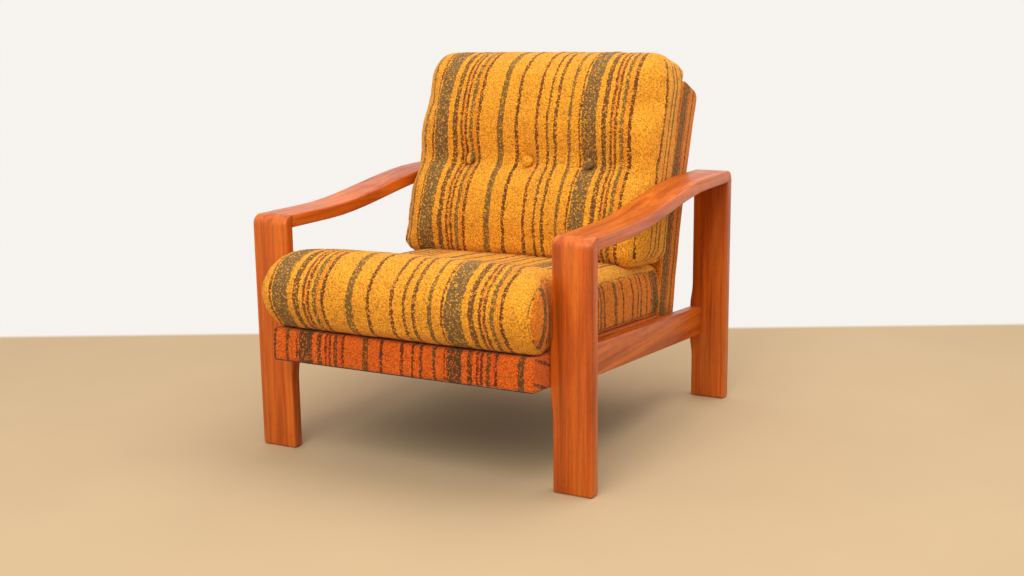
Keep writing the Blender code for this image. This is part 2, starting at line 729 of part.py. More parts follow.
def back_thickness(rise):
    """Thickness of the back cushion above its base: thinner upwards and drawn in along the crease."""
    hollow = CREASE_DEPTH * math.exp(-(((rise - CREASE_HEIGHT) / CREASE_SPREAD) ** 2))
    return BACK_CUSHION_THICKNESS - BACK_CUSHION_TAPER * rise / BACK_CUSHION_HEIGHT - hollow


def on_cushion_base(rise, forward):
    """(y, z) of a point above the seat cushion and forward of the back panel."""
    return on_back(rise_over_seat(CUSHION_PLATEAU + FIT, forward) + rise, forward)


def back_cushion_outline(inset):
    """Side outline: it lies on the seat and the panel, with rounded corners and a crease across its front."""
    top, low, rear = BACK_CUSHION_HEIGHT - inset, inset, FIT + inset
    small = CUSHION_ROUNDING - inset * 0.7
    large = 2 * CUSHION_ROUNDING - inset * 0.7
    front_low = back_thickness(small) - inset
    front_high = back_thickness(top - large) - inset
    points = arc_points((low + small, rear + small), (small, small), -180, -90, 4)
    points += arc_points((low + small, front_low - small), (small, small), -90, 0, 5)
    crease = [CREASE_HEIGHT + CREASE_SPREAD * reach for reach in CREASE_STEPS]
    rises = spread(low + small, crease[0], 3)[1:-1] + crease + spread(crease[-1], top - large, 4)[1:-1]
    points += [(rise, back_thickness(rise) - inset) for rise in rises]
    points += arc_points((top - large, front_high - large), (large, large), 0, 90, 6)
    points += arc_points((top - small, rear + small), (small, small), 90, 180, 4)
    points += [(rise, rear) for rise in spread(top - small, low + small, 8)[1:-1]]
    return [on_cushion_base(*point) for point in points]


def make_cushion(name, outline_at, half_width, zip_box, materials, parent):
    """A foam core in a fabric cover, with a zip in the cover's rear. zip_box is its two corners."""
    skin = CUSHION_SKIN
    solid = slab(outline_at, half_width, CUSHION_ROUNDING)
    cover = add_object(f"{name}_cover", solid, materials["upholstery"], parent)
    inner = slab(lambda inset: outline_at(inset + skin), half_width - skin, CUSHION_ROUNDING - skin)
    inner = helper(add_object(f"{name}_hollow", inner, None, parent))
    margin = Vector((FIT, FIT, FIT))
    low, high = (Vector(corner) for corner in zip_box)
    slot = helper(block(f"{name}_slot", low, high, None, parent))
    strip = helper(block(f"{name}_strip", low + margin, high - margin, None, parent))
    cut(cover, inner, slot)

    solid = slab(outline_at, half_width, CUSHION_ROUNDING)
    zipper = add_object(f"{name}_zip", solid, materials["zip"], parent)
    combine(zipper, "INTERSECT", strip)
    cut(zipper, inner)

    play = skin + 2 * FIT
    core = slab(lambda inset: outline_at(inset + play), half_width - play, CUSHION_ROUNDING - play)
    return cover, add_object(f"{name}_core", core, materials["foam"], parent)


def make_seat_cushion(materials, seat):
    rear = seat_cushion_rear()
    middle = CUSHION_BASE + SEAT_CUSHION_THICKNESS / 2
    low = (-ZIP_LENGTH / 2, rear - CUSHION_ROUNDING, middle - ZIP_WIDTH / 2)
    high = (ZIP_LENGTH / 2, rear + CUSHION_ROUNDING, middle + ZIP_WIDTH / 2)
    half = RAIL_INNER - CUSHION_PLAY
    make_cushion("seat_cushion", seat_cushion_outline, half, (low, high), materials, seat)


def make_back_cushion(materials, parent):
    zip_y, zip_z = on_cushion_base(CREASE_HEIGHT / 2, FIT)
    low = (-ZIP_LENGTH / 2, zip_y - CUSHION_ROUNDING / 2, zip_z - ZIP_WIDTH / 2)
    high = (ZIP_LENGTH / 2, zip_y + CUSHION_ROUNDING / 2, zip_z + ZIP_WIDTH / 2)
    half = BACK_CUSHION_WIDTH / 2
    cover, core = make_cushion("back_cushion", back_cushion_outline, half, (low, high), materials, parent)

    tuft = back_thickness(CREASE_HEIGHT) + FIT
    rise = rise_over_seat(CUSHION_PLATEAU + FIT, tuft) + CREASE_HEIGHT
    forwards = (math.pi / 2 - lean_at(rise), 0, 0)
    twine, cap = TWINE_DIAMETER / 2, BUTTON_DIAMETER / 2
    rim = tuft + BUTTON_HEIGHT * 0.4
    profile = [(FIT, twine), (tuft, twine)]
    profile += arc_points((rim, 0.0), (BUTTON_HEIGHT * 0.6, cap), 0, 72, 4)
    hole_length = tuft + 2 * BUTTON_HEIGHT
    for index, x in enumerate(spread(-BUTTON_SPACING, BUTTON_SPACING, BUTTON_COUNT)):
        y, z = on_back(rise, 0.0)
        turned(f"back_button_{index + 1}", profile, (x, y, z), forwards, materials["upholstery"], parent)
        start = (x, *on_back(rise, -BUTTON_HEIGHT))
        hole = bore(f"twine_hole_{index + 1}", twine + FIT, hole_length, start, forwards, parent)
        cut(cover, hole)
        cut(core, hole)


# ---------------------------------------------------------------- the chair


def make_materials():
    return {
        "teak": make_material("teak", (0.42, 0.13, 0.03), 0.35),
        "beech": make_material("beech", (0.62, 0.42, 0.24), 0.6),
        "pine": make_material("pine", (0.70, 0.53, 0.33), 0.7),
        "upholstery": make_material("upholstery", (0.80, 0.33, 0.03), 0.9),
        "lining": make_material("lining", (0.03, 0.03, 0.03), 0.9),
        "wadding": make_material("wadding", (0.75, 0.73, 0.68), 0.95),
        "foam": make_material("foam", (0.85, 0.78, 0.45), 0.95),
        "webbing": make_material("webbing", (0.20, 0.12, 0.06), 0.9),
        "zip": make_material("zip", (0.25, 0.12, 0.03), 0.6),
        "zinc_steel": make_material("zinc_steel", (0.60, 0.60, 0.62), 0.35, 1.0),
        "spring_steel": make_material("spring_steel", (0.25, 0.25, 0.27), 0.4, 1.0),
        "brass": make_material("brass", (0.70, 0.50, 0.18), 0.35, 1.0),
    }


def centre_on_origin(chair):
    """Moves the chair along y until the middle of its outline is at y = 0."""
    bpy.context.view_layer.update()
    graph = bpy.context.evaluated_depsgraph_get()
    reach = []
    for obj in bpy.context.scene.objects:
        if obj.type == "EMPTY" or obj.hide_render:
            continue
        evaluated = obj.evaluated_get(graph)
        mesh = evaluated.to_mesh()
        reach += [(evaluated.matrix_world @ vertex.co).y for vertex in mesh.vertices]
        evaluated.to_mesh_clear()
    chair.location.y = -(min(reach) + max(reach)) / 2


def main():
    clear_scene()
    materials = make_materials()
    chair = add_empty("chair")
    seat = add_empty("seat_slope", chair)
    seat.location.z = RAIL_MID_FRONT
    seat.rotation_euler.x = -SEAT_SLOPE
    rails = {side: make_side_frame(side, sign, materials, chair) for side, sign in SIDES.items()}
    seat_cover, seat_rear_rail = make_seat_box(materials, seat, rails)
    back_cover, back_bottom_rail = make_back(materials, chair)
    make_unit_bolts(materials, seat, (seat_rear_rail, seat_cover, back_cover, back_bottom_rail))
    make_seat_cushion(materials, seat)
    make_back_cushion(materials, chair)
    centre_on_origin(chair)


if __name__ == "__main__":
    main()
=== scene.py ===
"""Finishes a low lounge armchair with oiled teak side frames and striped loose cushions.

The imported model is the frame, and every piece here takes its place from it. Lengths are metres.
"""

import math

import bmesh
import bpy
import numpy as np
from bpy.props import FloatProperty, FloatVectorProperty, IntProperty, PointerProperty
from mathutils import Matrix, Vector, noise


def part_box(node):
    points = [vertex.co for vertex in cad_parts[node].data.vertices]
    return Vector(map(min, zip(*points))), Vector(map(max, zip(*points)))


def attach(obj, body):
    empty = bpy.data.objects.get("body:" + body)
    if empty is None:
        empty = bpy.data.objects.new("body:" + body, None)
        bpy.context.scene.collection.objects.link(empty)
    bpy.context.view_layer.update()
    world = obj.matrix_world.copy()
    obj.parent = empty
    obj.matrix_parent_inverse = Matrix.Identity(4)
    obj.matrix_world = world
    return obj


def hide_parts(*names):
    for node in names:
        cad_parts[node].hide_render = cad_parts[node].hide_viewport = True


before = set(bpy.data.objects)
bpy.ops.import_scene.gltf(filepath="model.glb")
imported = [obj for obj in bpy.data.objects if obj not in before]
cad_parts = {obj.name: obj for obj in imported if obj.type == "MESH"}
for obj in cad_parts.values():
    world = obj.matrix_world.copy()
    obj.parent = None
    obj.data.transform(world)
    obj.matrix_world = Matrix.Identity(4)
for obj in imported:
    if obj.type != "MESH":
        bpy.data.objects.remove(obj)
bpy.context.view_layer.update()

bl_info = {
    "name": "Striped lounge armchair",
    "version": (1, 0, 0),
    "blender": (4, 5, 0),
    "location": "3D View > Sidebar > Armchair",
    "description": "Finishes a low teak lounge armchair with loose striped cushions",
    "category": "Add Mesh",
}

# The seat's slope and the back's curve, as the joiner set them out
FRONT_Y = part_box("front_leg_right")[0].y
SEAT_SLOPE = math.radians(4.3)
SEAT_MIDDLE_Z = 0.2225
BOX_FRONT, BOX_REAR, BOX_HALF_HEIGHT = -0.060, 0.528, 0.031
BOX_HALF_WIDTH = 0.2777
LEAN_FOOT, LEAN_TOP = math.radians(8.0), math.radians(22.5)
PANEL_LENGTH, PANEL_THICKNESS, PANEL_HALF_WIDTH = 0.565, 0.095, 0.265
PANEL_RADIUS = PANEL_LENGTH / (LEAN_TOP - LEAN_FOOT)
GAP = 0.0003

# Cloth over the seat box and the back panel: edge rounding, mesh pitch, and a face's width to its length
BOX_EDGE, BOX_PITCH, BOX_WIDE = 0.0055, 0.0062, 1.7
PANEL_EDGE, PANEL_PITCH, PANEL_WIDE = 0.006, 0.0068, 2.1
PANEL_FOOT_RADIUS, PANEL_TOP_RADIUS = 0.004, 0.020
CLOTH_THICKNESS, CLOTH_INSET = 0.0018, 0.0002
BOX_HEM, PANEL_HEM, HEM_DEPTH = 0.022, 0.026, 0.004

# Cushions
CUSHION_BASE = BOX_HALF_HEIGHT + GAP
SEAT_THICKNESS, SEAT_CROWN, SEAT_CROWN_RUN = 0.107, 0.033, 0.240
SEAT_PLATEAU = CUSHION_BASE + SEAT_THICKNESS
SEAT_FRONT, SEAT_NOSE, SEAT_HALF_WIDTH = -0.097, 0.085, 0.276
BACK_THICKNESS, BACK_TAPER, BACK_HEIGHT, BACK_HALF_WIDTH = 0.172, 0.018, 0.428, 0.270
CREASE_HEIGHT, CREASE_DEPTH, CREASE_SPREAD = 0.195, 0.018, 0.040
CUSHION_DROOP, CUSHION_BULGE, CUSHION_INSET = 0.006, 0.003, -0.002
FLARE, NOSE_REACH = 0.040, 0.004
HELD_BAND, CREASE_HOLD, BUTTON_HOLD = 0.012, 0.3, 0.011
BUTTONS = ("back_button_1", "back_button_2", "back_button_3")
BUTTON_XS = (-0.140, 0.0, 0.140)
BUTTON_RADIUS, BUTTON_SINK, BUTTON_SLANT = 0.0118, 0.0058, math.radians(16)
SEAT_REST, BACK_REST = 0.0006, 0.0012
SEAT_CLEAR, BACK_CLEAR = 0.0006, 0.0008
SEAT_WIDEST, BACK_WIDEST = 0.2772, 0.2822
SEAT_SWELL, BACK_SWELL, QUICK_SWELL = 0.009, 0.011, 0.003
SEAT_UNEVEN, BACK_UNEVEN, SEAM_DEPTH = 0.0011, 0.0014, 0.0018

# The loops of the yarn, as far as they show in the outline
NUB_HEIGHT, NUB_SIZE = 0.0007, 0.0048

# Stripes of the cloth: where each one ends, in millimetres from the start of the wide brown one, and its yarn
REPEAT = 0.342
STRIPES = (
    (31, "brown"), (44, "ochre"), (54, "umber"), (62, "ochre"), (68, "russet"), (71, "orange"),
    (77, "russet"), (84, "ochre"), (92, "olive"), (101, "orange"), (108, "dark"), (150, "ochre"),
    (164, "olive"), (191, "ochre"), (197, "dark"), (237, "ochre"), (244, "russet"), (262, "ochre"),
    (268, "umber"), (280, "ochre"), (287, "umber"), (311, "ochre"), (317, "olive"), (335, "ochre"),
    (339, "russet"), (342, "ochre"),
)
LOOSE_YARNS = {
    "brown": (124, 96, 54), "olive": (130, 98, 46), "dark": (110, 66, 30), "umber": (120, 78, 36),
    "russet": (128, 70, 32), "ochre": (242, 162, 42), "orange": (238, 146, 36),
}
# Yarns of the fixed covers: a deeper orange than the faded loose cushions, and darker still as painted shade
# for the seat cushion's shadow on the seat box.
FIXED_YARNS_WITH_PAINTED_SHADE = {
    "brown": (88, 60, 30), "olive": (104, 66, 26), "dark": (96, 48, 20), "umber": (100, 54, 22),
    "russet": (116, 46, 18), "ochre": (222, 98, 20), "orange": (216, 82, 18),
}
# Halfway between loose and fixed yarns, with half the fixed yarns' painted shade: on the back panel, and on
# the seat cushion's side panels as painted shade.
PANEL_YARNS = {
    yarn: tuple((loose + fixed) / 2 for loose, fixed in zip(LOOSE_YARNS[yarn], FIXED_YARNS_WITH_PAINTED_SHADE[yarn]))
    for yarn in LOOSE_YARNS
}

# Where the wide brown stripe starts on each piece, and the repeat where the cloth was pulled out of its own
BACK_START, FIXED_START, SEAT_START, SEAT_SIDE_START = -0.220, -0.216, -0.243, 0.1543
SEAT_REPEAT, BOX_REPEAT = 0.357, 0.322

# The camera, and the wide floor, which turns to the backdrop's colour past a line behind the chair
VIEW_AZIMUTH, VIEW_ELEVATION, VIEW_ROLL = (math.radians(angle) for angle in (28.1152, 11.6348, -0.7171))
VIEW_PLACE, VIEW_LENS = (1.291, -2.3633, 0.8386), 47.27
FLOOR_REACH, WALL_LINE, WALL_BLEND = 16.0, 0.80, 0.03
WALL_STRENGTH = 0.97


# ---------------------------------------------------------------- places on the chair


def from_seat(along, above):
    """(y, z) of a point along the seat's slope and above the rails' centre line."""
    return (
        FRONT_Y + along * math.cos(SEAT_SLOPE) + above * math.sin(SEAT_SLOPE),
        SEAT_MIDDLE_Z - along * math.sin(SEAT_SLOPE) + above * math.cos(SEAT_SLOPE),
    )


def to_seat(y, z):
    """The reverse of from_seat. It takes arrays too."""
    along, rise = y - FRONT_Y, z - SEAT_MIDDLE_Z
    return (
        along * math.cos(SEAT_SLOPE) - rise * math.sin(SEAT_SLOPE),
        along * math.sin(SEAT_SLOPE) + rise * math.cos(SEAT_SLOPE),
    )


def on_back(rise, forward):
    """(y, z) of a point up the back panel's curved front face and in front of it."""
    foot_y, foot_z = from_seat(BOX_REAR + GAP, -BOX_HALF_HEIGHT)
    lean = LEAN_FOOT + rise / PANEL_RADIUS
    return (
        foot_y + PANEL_RADIUS * (math.cos(LEAN_FOOT) - math.cos(lean)) - forward * math.cos(lean),
        foot_z + PANEL_RADIUS * (math.sin(lean) - math.sin(LEAN_FOOT)) + forward * math.sin(lean),
    )


def to_back(y, z):
    """(rise, forward) of a point, or of arrays of them: the reverse of on_back."""
    foot_y, foot_z = from_seat(BOX_REAR + GAP, -BOX_HALF_HEIGHT)
    centre_y = foot_y + PANEL_RADIUS * math.cos(LEAN_FOOT)
    centre_z = foot_z - PANEL_RADIUS * math.sin(LEAN_FOOT)
    lean = np.arctan2(z - centre_z, centre_y - y)
    reach = np.hypot(z - centre_z, centre_y - y)
    return (lean - LEAN_FOOT) * PANEL_RADIUS, reach - PANEL_RADIUS


def raise_points(points, change):
    """Moves points square to the seat's slope, each by its own amount."""
    points[:, 1] += change * math.sin(SEAT_SLOPE)
    points[:, 2] += change * math.cos(SEAT_SLOPE)


def rise_over_seat(height, forward):
    """How far up the back a line in front of the panel reaches a height above the rails' centre line."""
    low, high = 0.0, PANEL_LENGTH
    for _ in range(40):
        middle = (low + high) / 2
        if to_seat(*on_back(middle, forward))[1] < height:
            low = middle
        else:
            high = middle
    return (low + high) / 2


def seat_crown(along):
    """Height of the seat cushion's top: a rounded crest near the front that falls to a level rear half."""
    t = min(max((along - SEAT_FRONT - SEAT_NOSE) / SEAT_CROWN_RUN, 0.0), 1.0)
    return SEAT_PLATEAU + SEAT_CROWN * (1 + math.cos(math.pi * t)) / 2


# ---------------------------------------------------------------- outlines


def arc(centre, radii, start, end, count=18):
    """Points round part of an ellipse, given in degrees. The first radius runs up, the second forward."""
    angles = [math.radians(start + (end - start) * i / count) for i in range(count + 1)]
    return [(centre[0] + radii[0] * math.sin(a), centre[1] + radii[1] * math.cos(a)) for a in angles]


def spread(start, end, count):
    return [start + (end - start) * i / count for i in range(count + 1)]


def seat_outline():
    """Side outline of the seat cushion, clockwise from under its nose."""
    crest, end = SEAT_FRONT + SEAT_NOSE, 0.030
    middle = CUSHION_BASE + SEAT_THICKNESS / 2
    rear = to_seat(*on_back(rise_over_seat(middle, GAP), GAP))[0] - 0.001
    low, high, rear_high = CUSHION_BASE, seat_crown(crest), seat_crown(rear)
    nose = arc(((low + high) / 2, crest), ((high - low) / 2, -SEAT_NOSE), -90, 90, 30)
    tail = arc(((low + rear_high) / 2, rear - end), ((rear_high - low) / 2, end), 90, -90, 24)
    top = [(seat_crown(s), s) for s in spread(crest, rear - end, 40)[1:-1]]
    return [from_seat(s, n) for n, s in nose + top + tail]


def back_depth(rise):
    """Thickness of the back cushion above its base: thinner upwards and drawn in along the crease."""
    hollow = CREASE_DEPTH * math.exp(-(((rise - CREASE_HEIGHT) / CREASE_SPREAD) ** 2))
    return BACK_THICKNESS - BACK_TAPER * rise / BACK_HEIGHT - hollow


def on_base(rise, forward):
    """(y, z) of a point above the seat cushion and forward of the back panel."""
    return on_back(rise_over_seat(SEAT_PLATEAU + GAP, forward) + rise, forward)


def back_outline():
    """Side outline of the back cushion, clockwise from its lower front corner."""
    small, large = 0.030, 0.060
    front_low, front_high = back_depth(small), back_depth(BACK_HEIGHT - large)
    points = arc((small, front_low - small), (small, small), -90, 0, 14)
    points += [(u, back_depth(u)) for u in spread(small, BACK_HEIGHT - large, 60)[1:-1]]
    points += arc((BACK_HEIGHT - large, front_high - large), (large, large), 0, 90, 24)
    points += arc((BACK_HEIGHT - small, GAP + small), (small, small), 90, 180, 14)
    points += [(u, GAP) for u in spread(BACK_HEIGHT - small, small, 40)[1:-1]]
    points += arc((small, GAP + small), (small, small), 180, 270, 14)
    return [on_base(*point) for point in points]


def rounded_outline(place, low, high, low_radius, high_radius):
    """A rounded rectangle between two corners, placed by a function of its two lengths."""
    (a0, b0), (a1, b1) = low, high
    corners = (((a0, b1), (-90, 0)), ((a1, b1), (0, 90)), ((a1, b0), (90, 180)), ((a0, b0), (180, 270)))
    points = []
    for (a, b), (start, end) in corners:
        radius = low_radius if a == a0 else high_radius
        centre = (a + radius * (1 if a == a0 else -1), b + radius * (1 if b == b0 else -1))
        points += arc(centre, (radius, radius), start, end, 8)
    sides = []
    for i, (a, b) in enumerate(points):
        c, d = points[(i + 1) % len(points)]
        parts = max(int(math.hypot(c - a, d - b) / 0.01), 1)
        sides += [(a + (c - a) * k / parts, b + (d - b) * k / parts) for k in range(parts)]
    return [place(*point) for point in sides]


# ---------------------------------------------------------------- soft bodies


def placed(name, data):
    """A new object in the scene."""
    obj = bpy.data.objects.new(name, data)
    bpy.context.scene.collection.objects.link(obj)
    return obj


def evened(points, pitch):
    """A closed line's points moved an even distance apart, how far along each is, and the line's length."""
    line = np.array(list(points) + [points[0]])
    run = np.concatenate([[0.0], np.cumsum(np.hypot(*np.diff(line, axis=0).T))])
    count = 2 * int(round(run[-1] / pitch / 2))
    along = np.arange(count) * run[-1] / count
    return np.stack([np.interp(along, run, line[:, k]) for k in (0, 1)], 1), along, run[-1]


def outward(ring):
    """Unit normals of a clockwise closed line, pointing out of it."""
    tangent = np.roll(ring, -1, 0) - np.roll(ring, 1, 0)
    tangent += 0.5 * (np.roll(tangent, 1, 0) + np.roll(tangent, -1, 0))
    tangent /= np.linalg.norm(tangent, axis=1)[:, None]
    return np.stack([-tangent[:, 1], tangent[:, 0]], 1)


def midline(ring, first, short):
    """The point of its middle line that each point of an outline closes on, short of the two tips."""
    size = len(ring)
    core = np.empty_like(ring)
    for k in range(size // 2 + 1):
        kept = min(max(k, short), size // 2 - short)
        spot = (ring[(first + kept) % size] + ring[(first - kept) % size]) / 2
        core[(first + k) % size] = core[(first - k) % size] = spot
    return core


def cover(name, outline, half_width, edge, pitch, side_cloth, droop=0.0, bulge=0.0, inset=0.0, wide=1.0):
    """A closed cloth cover: a side outline carried across the chair and closed by two sewn-in side panels.

    The edge between them is rounded and its seam runs half way round it. The cloth's own lengths, across and
    along its stripes, are kept as a UV map in metres, and the seam as an attribute. A face is wide times as
    wide as it is long.
    """
    ring, along, whole = evened(outline, pitch)
    out = outward(ring)
    ring = ring - inset * out
    half_width -= inset
    middle = (ring.min(0) + ring.max(0)) / 2
    flat = half_width - edge
    count = int(2 * flat / (pitch * wide))
    rows = [(x, 0.0, 1.0, x, 0.0) for x in spread(-flat, flat, count)]
    steps = 8
    turned = []
    for k in range(1, steps + 1):
        angle = math.radians(90 * k / steps)
        seam = max(0.0, 1 - abs(k - steps / 2) * 0.75)
        x, fall = flat + edge * math.sin(angle), edge * (1 - math.cos(angle))
        turned.append((x, fall, 1.0, flat + edge * angle, seam))
    spine = np.linalg.svd(ring - middle, full_matrices=False)[2][0]
    first = int(np.argmin(ring @ spine))
    thick = float(np.ptp(ring @ np.array([-spine[1], spine[0]]))) / 2
    parts = max(int((thick - edge) / pitch), 3)
    core = midline(ring, first, int(1.2 * thick / pitch))
    for k in range(1, parts):
        scale = 1 - k / parts
        turned.append((half_width + bulge * (1 - scale**2), edge, scale, 0.0, 0.0))
    mirrored = [(-x, fall, scale, -u, seam) for x, fall, scale, u, seam in reversed(turned)]
    rows = mirrored + rows + turned
    band = (len(turned) - steps // 2, len(rows) - 1 - (len(turned) - steps // 2))

    size = len(ring)
    points, seams, across = [], [], []
    for x, fall, scale, u, seam in rows:
        fall = fall + droop * (abs(x) / half_width) ** 4 * np.clip(out[:, 1], 0, 1)
        line = core + scale * (ring - fall[:, None] * out - core)
        points.append(np.column_stack([np.full(size, x), line]))
        seams.append(np.full(size, seam))
        across.append(u)
    points, seams = np.concatenate(points), np.concatenate(seams)

    faces, cloth = [], []

    def on_side(index):
        return side_cloth(*points[index][1:])

    for i in range(len(rows) - 1):
        banded = band[0] <= i < band[1]
        for j in range(size):
            k = (j + 1) % size
            corners = (i * size + j, (i + 1) * size + j, (i + 1) * size + k, i * size + k)
            faces.append(corners)
            if banded:
                v, w = along[j], along[k] if k else whole
                cloth += [(across[i], v), (across[i + 1], v), (across[i + 1], w), (across[i], w)]
            else:
                cloth += [on_side(index) for index in corners]
    last = (len(rows) - 1) * size
    for k in range(size // 2):
        pair = [(first + k) % size, (first - k) % size, (first - k - 1) % size, (first + k + 1) % size]
        high = [last + index for index in dict.fromkeys(pair)]
        low = [index - last for index in reversed(high)]
        for corners in (low, high):
            faces.append(corners)
            cloth += [on_side(index) for index in corners]

    mesh = cloth_mesh(name, points, faces, cloth)
    mesh.attributes.new("seam", "FLOAT", "POINT").data.foreach_set("value", seams.astype(np.float32))
    return placed(name, mesh)


def cloth_mesh(name, points, faces, cloth):
    """A smooth mesh that keeps each face corner's place on the cloth."""
    mesh = bpy.data.meshes.new(name)
    mesh.from_pydata([tuple(point) for point in points], [], faces)
    mesh.uv_layers.new(name="cloth").data.foreach_set("uv", np.array(cloth, np.float32).ravel())
    mesh.polygons.foreach_set("use_smooth", [True] * len(mesh.polygons))
    mesh.update()
    return mesh


def values_of(items, key, width=3):
    """One property of every vertex, face or corner of a mesh, a row each."""
    flat = np.empty(len(items) * width, np.float32)
    items.foreach_get(key, flat)
    return flat.reshape(-1, width).astype(np.float64)


def points_of(mesh):
    return values_of(mesh.vertices, "co")


def set_points(mesh, points):
    mesh.vertices.foreach_set("co", points.astype(np.float32).ravel())
    mesh.update()


def normals_of(mesh):
    return values_of(mesh.vertices, "normal")


def seams_of(mesh):
    return values_of(mesh.attributes["seam"].data, "value", 1)[:, 0]


def inflate(obj, held, most, pressure, frames=20):
    """Fills a cover: its cloth is blown out against the held points, and no point moves past a cap."""
    start = points_of(obj.data)
    pins = obj.vertex_groups.new(name="held")
    for index in np.nonzero(held > 0)[0]:
        pins.add([int(index)], float(held[index]), "REPLACE")
    cloth = obj.modifiers.new("filling", "CLOTH")
    cloth.settings.quality = 5
    cloth.settings.mass = 0.3
    cloth.settings.tension_stiffness = 12
    cloth.settings.compression_stiffness = 12
    cloth.settings.shear_stiffness = 4
    cloth.settings.bending_stiffness = 0.6
    cloth.settings.use_pressure = True
    cloth.settings.uniform_pressure_force = pressure
    cloth.settings.effector_weights.gravity = 0.0
    cloth.settings.vertex_group_mass = "held"
    cloth.collision_settings.use_collision = False
    scene = bpy.context.scene
    for number in range(1, frames + 1):
        scene.frame_set(number)
    blown = obj.evaluated_get(bpy.context.evaluated_depsgraph_get()).to_mesh()
    moved = points_of(blown) - start
    reach = np.linalg.norm(moved, axis=1)
    moved *= (np.tanh(reach / most) * most / np.maximum(reach, 1e-9))[:, None]
    obj.modifiers.remove(cloth)
    obj.vertex_groups.remove(pins)
    scene.frame_set(1)
    set_points(obj.data, start + moved)


def subdivided(obj):
    """Rounds the cover's mesh off with one subdivision."""
    smooth = obj.modifiers.new("rounding", "SUBSURF")
    smooth.levels = smooth.render_levels = 1
    smooth.boundary_smooth = "PRESERVE_CORNERS"
    graph = bpy.context.evaluated_depsgraph_get()
    mesh = bpy.data.meshes.new_from_object(obj.evaluated_get(graph), depsgraph=graph)
    obj.modifiers.remove(smooth)
    old, obj.data = obj.data, mesh
    bpy.data.meshes.remove(old)
    mesh.name = obj.name
    return mesh


def unevenness(points, size, seed):
    """A gentle seeded swell, between about -1 and 1, for hand-filled cloth."""
    shift = Vector((seed * 3.1, seed * 1.7, seed * 2.3))
    return np.array([noise.noise(Vector(p) / size + shift) for p in points])


def sewn(obj, uneven, seed):
    """Draws the cloth in along its seams and makes its surface a little uneven."""
    mesh = obj.data
    points = points_of(mesh)
    lift = uneven * unevenness(points, 0.055, seed) + 0.45 * uneven * unevenness(points, 0.018, seed + 5)
    lift += NUB_HEIGHT * unevenness(points, NUB_SIZE, seed + 9)
    lift -= SEAM_DEPTH * seams_of(mesh) ** 2
    set_points(mesh, points + normals_of(mesh) * lift[:, None])


def stuff(obj, held, most, filling, uneven, seed, keep_clear):
    """Fills a loose cushion, sews it and keeps it clear of what it lies against."""
    inflate(obj, held, most, filling)
    subdivided(obj)
    sewn(obj, uneven, seed)
    points = points_of(obj.data)
    keep_clear(points)
    set_points(obj.data, points)


# ---------------------------------------------------------------- materials


def linear(colour):
    """A colour given in ordinary 0 to 255 values, as the shader wants it."""
    values = [c / 255 for c in colour]
    return tuple(c / 12.92 if c <= 0.04045 else ((c + 0.055) / 1.055) ** 2.4 for c in values) + (1.0,)


class Finish:
    """A material under construction."""

    def __init__(self, name, roughness=0.5, metallic=0.0, **sockets):
        self.material = bpy.data.materials.new(name)
        self.material.use_nodes = True
        self.tree = self.material.node_tree
        self.surface = self.tree.nodes["Principled BSDF"]
        self.surface.inputs["Roughness"].default_value = roughness
        self.surface.inputs["Metallic"].default_value = metallic
        for socket, value in sockets.items():
            self.surface.inputs[socket.replace("_", " ").title().replace("Ior", "IOR")].default_value = value

    def node(self, kind, inputs=None, **settings):
        made = self.tree.nodes.new("ShaderNode" + kind)
        for key, value in settings.items():
            setattr(made, key, value)
        for key, value in (inputs or {}).items():
            self.feed(made.inputs[key], value)
        return made

    def feed(self, socket, value):
        """A value, or the output of another node, goes into a socket."""
        if isinstance(value, bpy.types.NodeSocket):
            self.tree.links.new(value, socket)
        else:
            socket.default_value = value

    def maths(self, operation, *values):
        made = self.node("Math", operation=operation)
        for socket, value in zip(made.inputs, values):
            self.feed(socket, value)
        return made.outputs[0]

    def mix(self, share, first, second, blend="MIX"):
        made = self.node("Mix", data_type="RGBA", blend_type=blend, clamp_factor=True)
        for key, value in ((0, share), (6, first), (7, second)):
            self.feed(made.inputs[key], value)
        return made.outputs[2]

    def shade(self, colour, by, share=1.0):
        """Darkens or lightens a colour by a grey."""
        return self.mix(share, colour, by, "MULTIPLY")

    def ramp(self, value, stops, interpolation="LINEAR"):
        """Colours along a value, from (place, colour) pairs. A bare number is a grey."""
        made = self.node("ValToRGB", {"Fac": value})
        made.color_ramp.interpolation = interpolation
        elements = made.color_ramp.elements
        while len(elements) < len(stops):
            elements.new(1.0)
        for element, (place, colour) in zip(elements, stops):
            element.position = place
            element.color = colour if isinstance(colour, tuple) else (colour, colour, colour, 1.0)
        return made.outputs[0]

    def speckle(self, where, scale, detail=3.0, roughness=0.5, distortion=0.0):
        made = self.node("TexNoise", {"Vector": where, "Scale": scale, "Detail": detail})
        made.inputs["Roughness"].default_value = roughness
        made.inputs["Distortion"].default_value = distortion
        return made.outputs["Fac"]

    def along(self, where, axis, share):
        """Places squeezed along an axis, so that a pattern read from them is drawn out along it."""
        scale = [1.0, 1.0, 1.0]
        scale[axis] = share
        return self.node("Mapping", {"Vector": where, "Scale": tuple(scale)}).outputs[0]

    def relief(self, height, distance, strength=1.0):
        bump = self.node("Bump", {"Height": height, "Distance": distance, "Strength": strength})
        self.feed(self.surface.inputs["Normal"], bump.outputs[0])

    def place(self):
        return self.node("TexCoord").outputs["Object"]

    def paint(self, colour):
        self.feed(self.surface.inputs["Base Color"], colour)
        return self.material


